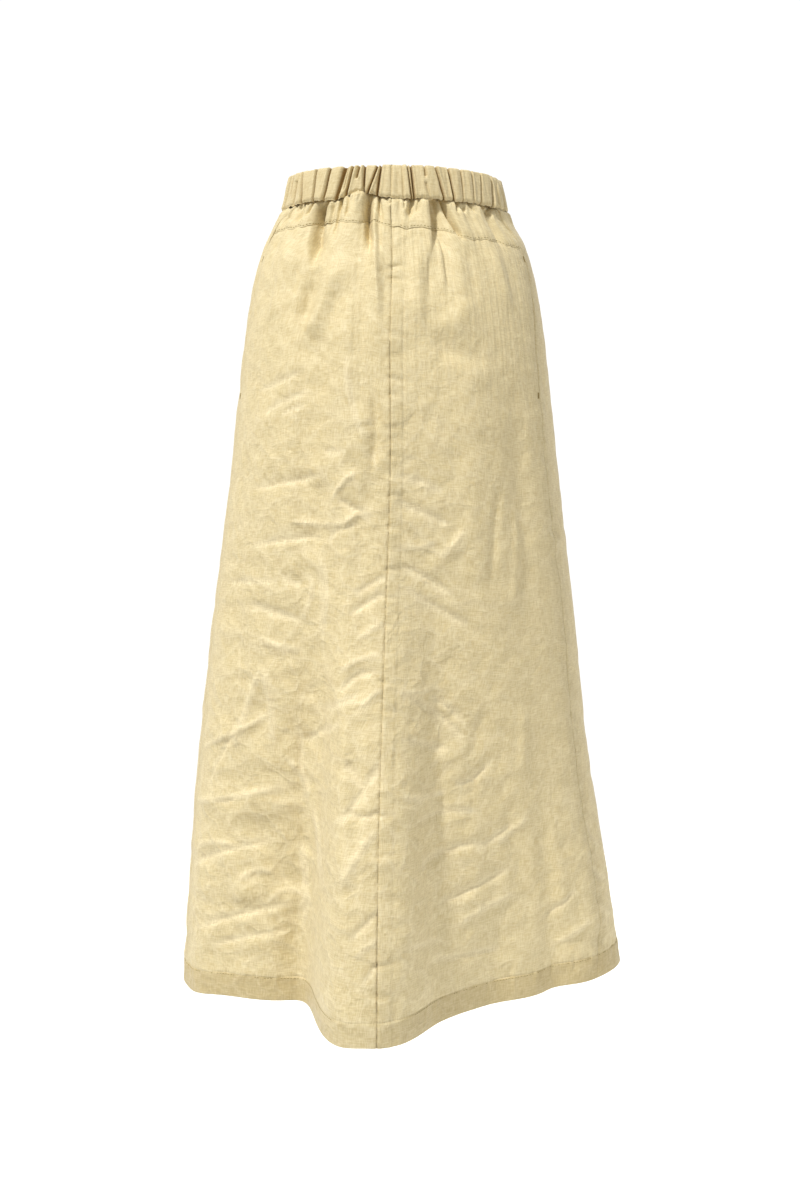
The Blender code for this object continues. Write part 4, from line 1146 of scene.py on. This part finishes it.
def bandPanel(name, sides, count):
    path = np.concatenate([
        [0.0, 0.012, 0.028, 0.045, 0.065], np.linspace(0.09, 0.90, 30),
        [0.925, 0.945, 0.962, 0.976, 0.988, 0.996, 1.0],
        1.0 + np.array([0.004, 0.012, 0.024, 0.040, 0.065, 0.10]), np.linspace(1.16, 1.94, 14), [1.97, 2.0],
    ])
    shares = np.linspace(0.0, 1.0, count)
    angles = np.zeros((len(path), count))
    for k, p in enumerate(path):
        share = 1 - p if p <= 1 else p - 1
        drop = -0.017 + 0.034 * share
        start = float(seamAngle(sides[0], drop))
        end = float(seamAngle(sides[1], drop))
        angles[k] = start + (end - start) * shares
    points = bandPoint(angles, path[:, None] * np.ones((1, count)))
    edgeDistance = np.minimum(angles - angles[:, :1], angles[:, -1:] - angles) * 0.0019
    dip = -seam["tuck"] * np.exp(-((edgeDistance / 0.0012) ** 1.4))
    out = points * np.array([1.0, 1.0, 0.0])
    out /= np.linalg.norm(out, axis=-1, keepdims=True)
    facing = np.where(path <= 1.0, 1.0, -1.0)[:, None]
    points += out * (dip * facing)[..., None]
    piece = makeGrid(name, count, len(path))
    inGroove = np.clip(-bandReach(angles, np.where(path <= 1, 1 - path, path - 1)[:, None]) / 0.003, 0, 1)
    # painted shade: the band's two layers somewhat darker all over, and dark brown down in its folds
    layOut(piece, points, cutWidth(points), 0.16 + 0.84 * inGroove**2.4, 0.15, 0.0)
    return piece


bandSides = {
    "waistband_back_left": ("left", "back", 430),
    "waistband_back_right": ("back", "right", 460),
    "waistband_front": ("right", "leftAfterFront", 900),
}
for node, (start, end, count) in bandSides.items():
    piece = bandPanel("band_" + node[10:], (start, end), count)
    finishPiece(piece, node, bandLinen)
print("band made")

for node, sides in (("yoke_back_left", ("left", "back")), ("yoke_back_right", ("back", "right"))):
    piece = yokePanel("cloth_" + node, sides, 230)
    finishPiece(piece, node, washedLinen)
print("yoke made")

bodySides = {
    "skirt_back_left": ("left", "back", panels["backColumns"], False),
    "skirt_back_right": ("back", "right", panels["backColumns"], False),
    "skirt_front": ("right", "leftAfterFront", panels["frontColumns"], True),
}
for node, (start, end, count, toBand) in bodySides.items():
    piece = bodyPanel("cloth_" + node, (start, end), count, toBand)
    finishPiece(piece, node, washedLinen)
print("body made")

# Sewing: stitches along the yoke and the hem, bar tacks at the pockets
stitch = {
    "length": 0.0024,
    "radius": 0.00026,       # drawn a little thicker than the real thread's
    "pitch": 0.0034,
    "sinks": 0.0004,         # how far its ends go down into the cloth
    "yokeHeight": 0.0019,    # above the edge of the yoke
    "hemHeight": 0.0236,
    "tackLength": 0.0034,
    "tackPitch": 0.00045,
    "tackCount": 13,
    "tackAside": 0.0026,     # from the side seam
    "lift": 0.00008,         # how far the thread's middle lies above the cloth
    "tackLift": 0.00015,
}


def oneStitch(length):
    # a short round length of thread along X, whose ends turn down into the cloth
    bpy.ops.object.select_all(action="DESELECT")
    bpy.ops.mesh.primitive_cylinder_add(vertices=6, radius=stitch["radius"], depth=0.6 * length,
                                        rotation=(0.0, np.pi / 2, 0.0))
    model = bpy.context.object
    bpy.ops.object.transform_apply(location=False, rotation=True, scale=False)
    for way in (-1.0, 1.0):
        bpy.ops.object.mode_set(mode="EDIT")
        bpy.ops.mesh.select_all(action="DESELECT")
        bpy.ops.object.mode_set(mode="OBJECT")
        for face in model.data.polygons:
            face.select = face.normal.x * way > 0.9
        bpy.ops.object.mode_set(mode="EDIT")
        bpy.ops.mesh.select_mode(type="FACE")
        sink = (way * 0.2 * length, 0.0, -stitch["sinks"])
        bpy.ops.mesh.extrude_region_move(TRANSFORM_OT_translate={"value": sink})
        bpy.ops.transform.resize(value=(1.0, 0.6, 0.6))
        bpy.ops.object.mode_set(mode="OBJECT")
    points = np.array([v.co[:] for v in model.data.vertices])
    faces = [tuple(face.vertices) for face in model.data.polygons]
    bpy.data.objects.remove(model)
    return points, faces


def sew(name, places, along, outwards, length, thread):
    # one joined mesh of stitches, each at its place, lying along the cloth
    points, faces = oneStitch(length)
    along = along / np.linalg.norm(along, axis=1, keepdims=True)
    across = np.cross(outwards, along)
    across /= np.linalg.norm(across, axis=1, keepdims=True)
    up = np.cross(along, across)
    laid = (places[:, None] + points[None, :, 0:1] * along[:, None]
            + points[None, :, 1:2] * across[:, None] + points[None, :, 2:3] * up[:, None])
    allFaces = [tuple(corner + k * len(points) for corner in face) for k in range(len(places)) for face in faces]
    mesh = bpy.data.meshes.new(name)
    mesh.from_pydata(laid.reshape(-1, 3).tolist(), [], allFaces)
    mesh.shade_smooth()
    mesh.materials.append(thread)
    piece = bpy.data.objects.new(name, mesh)
    bpy.context.scene.collection.objects.link(piece)
    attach(piece, "root")
    print(f"{name}: {len(places)} stitches")
    return piece


def onCloth(pieceName, angles, drops, lift):
    # the nearest places on a finished piece, and which way it faces there
    piece = bpy.data.objects[pieceName]
    places = []
    facing = []
    for guess in place(angles, drops, clothReach(angles, drops)):
        found, spot, normal, index = piece.closest_point_on_mesh(Vector(guess))
        places.append(spot + normal * lift)
        facing.append(normal)
    return np.array(places), np.array(facing)


def stitchRow(name, pieceName, start, end, dropAt, thread):
    # stitches of even pitch between two angles
    angles = np.linspace(start, end, 400)
    path = place(angles, dropAt(angles), clothReach(angles, dropAt(angles)))
    run = np.concatenate([[0.0], np.cumsum(np.linalg.norm(np.diff(path, axis=0), axis=1))])
    count = int(run[-1] / stitch["pitch"])
    angles = np.interp((np.arange(count) + 0.5) * run[-1] / count, run, angles)
    places, facing = onCloth(pieceName, angles, dropAt(angles), stitch["lift"])
    return sew(name, places, np.gradient(places, axis=0), facing, stitch["length"], thread)


def barTack(name, pieceName, side, way, drop):
    # close stitches across the end of a pocket mouth
    drops = drop + (np.arange(stitch["tackCount"]) - stitch["tackCount"] / 2) * stitch["tackPitch"]
    angles = seamAngle(side, drops) + way * stitch["tackAside"] / metresPerDegree(seamAngle(side, drops), drops)
    places, facing = onCloth(pieceName, angles, drops, stitch["tackLift"])
    level = np.cross(facing, np.array([0.0, 0.0, 1.0]))
    return sew(name, places, level, facing, stitch["tackLength"], threadWithPaintedShade)


sewing = {}
for node, (start, end, count, toBand) in bodySides.items():
    low = 0.79
    first = float(seamAngle(start, low)) + 0.4
    last = float(seamAngle(end, low)) - 0.4
    row = stitchRow("hemStitches_" + node, "cloth_" + node, first, last,
                    lambda angles: ringDrop("hem", angles) - stitch["hemHeight"], threadWithPaintedShade)
    sewing["cloth_" + node] = [row]
for node, (start, end) in (("yoke_back_left", ("left", "back")), ("yoke_back_right", ("back", "right"))):
    first = float(seamAngle(start, 0.04)) + 0.5
    last = float(seamAngle(end, 0.05)) - 0.5
    sewing["cloth_" + node] = [stitchRow("topStitches_" + node, "cloth_" + node, first, last,
                                         lambda angles: yokeSeam(angles) - stitch["yokeHeight"], threadWithPaintedShade)]
for side, way, node in (("right", -1, "skirt_back_right"), ("left", 1, "skirt_back_left")):
    for number, drop in enumerate(pocket["tackDrops"]):
        tack = barTack(f"barTack_{side}_{number + 1}", "cloth_" + node, side, way, drop)
        sewing["cloth_" + node].append(tack)
print("sewing made")

# The form of a record of what a piece of cloth was cut to: width and length with its allowances, its area where it
# tapers, how it is held and what it hangs from; no pieces are entered
Cut = namedtuple("Cut", "piece flat area held hangsFrom")

# Floor, light and camera
studio = {
    "floorDrop": 1.35,       # the floor lies this far below the waist
    "floorSize": 5.0,
    "floorPaint": "#E6E6E4",
    "wallBehind": 1.05,      # brightness of the studio behind the skirt, and of the dimmer room around
    "room": 0.51,
    "wallFaces": (0.10, 0.99, 0.0),
}
# Place, what it lights, power and width of each lamp
lamps = {
    "keySpot": ((-3.70, -3.70, 6.90), (0.0, 0.0, -0.42), 3400.0, 0.50),
    "fill": ((2.0, -2.1, -0.1), (0.0, 0.0, -0.55), 12.0, 1.6),
    "floorLight": ((0.1, 1.9, 1.8), (0.1, 1.9, -1.0), 190.0, 3.4),
}
spotAngle = 11.5
spotBlend = 0.5

bpy.ops.object.select_all(action="DESELECT")
bpy.ops.mesh.primitive_plane_add(size=studio["floorSize"], location=(0.0, 0.0, -studio["floorDrop"]))
floor = bpy.context.object
floor.name = "studioFloor"
floorPaint = bpy.data.materials.new("palePaintedFloor")
floorPaint.use_nodes = True
floorPaint.node_tree.nodes["Principled BSDF"].inputs["Base Color"].default_value = linear(studio["floorPaint"])
floorPaint.node_tree.nodes["Principled BSDF"].inputs["Roughness"].default_value = 0.9
floor.data.materials.append(floorPaint)

world = bpy.data.worlds.new("paleStudio")
bpy.context.scene.world = world
world.use_nodes = True
room = world.node_tree
around = addNode(room, "ShaderNodeTexCoord")
compass = addNode(room, "ShaderNodeVectorMath", {"operation": "DOT_PRODUCT"}, {0: around.outputs["Generated"]})
compass.inputs[1].default_value = studio["wallFaces"]
brightness = addNode(room, "ShaderNodeMapRange",
                     {"From Min": 0.20, "From Max": 0.82, "To Min": studio["room"], "To Max": studio["wallBehind"]},
                     {"Value": compass.outputs["Value"]})
room.links.new(brightness.outputs["Result"], room.nodes["Background"].inputs["Strength"])
room.nodes["Background"].inputs["Color"].default_value = linear("#FFFFFF")

for name, (spot, aim, power, width) in lamps.items():
    bpy.ops.object.light_add(type="SPOT" if name == "keySpot" else "AREA", location=spot)
    lamp = bpy.context.object
    lamp.name = name
    lamp.data.energy = power
    lamp.rotation_euler = (Vector(aim) - Vector(spot)).to_track_quat("-Z", "Y").to_euler()
    if name == "keySpot":  # keeps to the skirt, so that the floor in front throws little light up
        lamp.data.shadow_soft_size = width
        lamp.data.spot_size = np.radians(spotAngle)
        lamp.data.spot_blend = spotBlend
    else:
        lamp.data.size = width
    if name == "floorLight":  # whitens the floor alone, so that the front isn't overlit
        floorOnly = bpy.data.collections.new("litByFloorLight")
        floorOnly.objects.link(floor)
        lamp.light_linking.receiver_collection = floorOnly

view = {
    "azimuth": -4.0,
    "distance": 1.7,
    "height": -0.24,
    "pitch": 5.85,
    "focal": 1634.6,   # in pixels of the 800 x 1200 picture
    "shift": 5.0,      # pixels that the waist's centre lies left of the picture's middle
}
turn = np.radians(view["azimuth"])
spot = (view["distance"] * np.sin(turn), -view["distance"] * np.cos(turn), view["height"])
bpy.ops.object.camera_add(location=spot)
camera = bpy.context.object
camera.rotation_euler = (np.radians(90.0 - view["pitch"]), 0.0, turn)
camera.data.sensor_fit = "VERTICAL"
camera.data.sensor_height = 36.0
camera.data.lens = 36.0 * view["focal"] / 1200
camera.data.shift_x = view["shift"] / 1200
bpy.context.scene.camera = camera
bpy.context.scene.view_settings.view_transform = "Standard"
print("studio made")
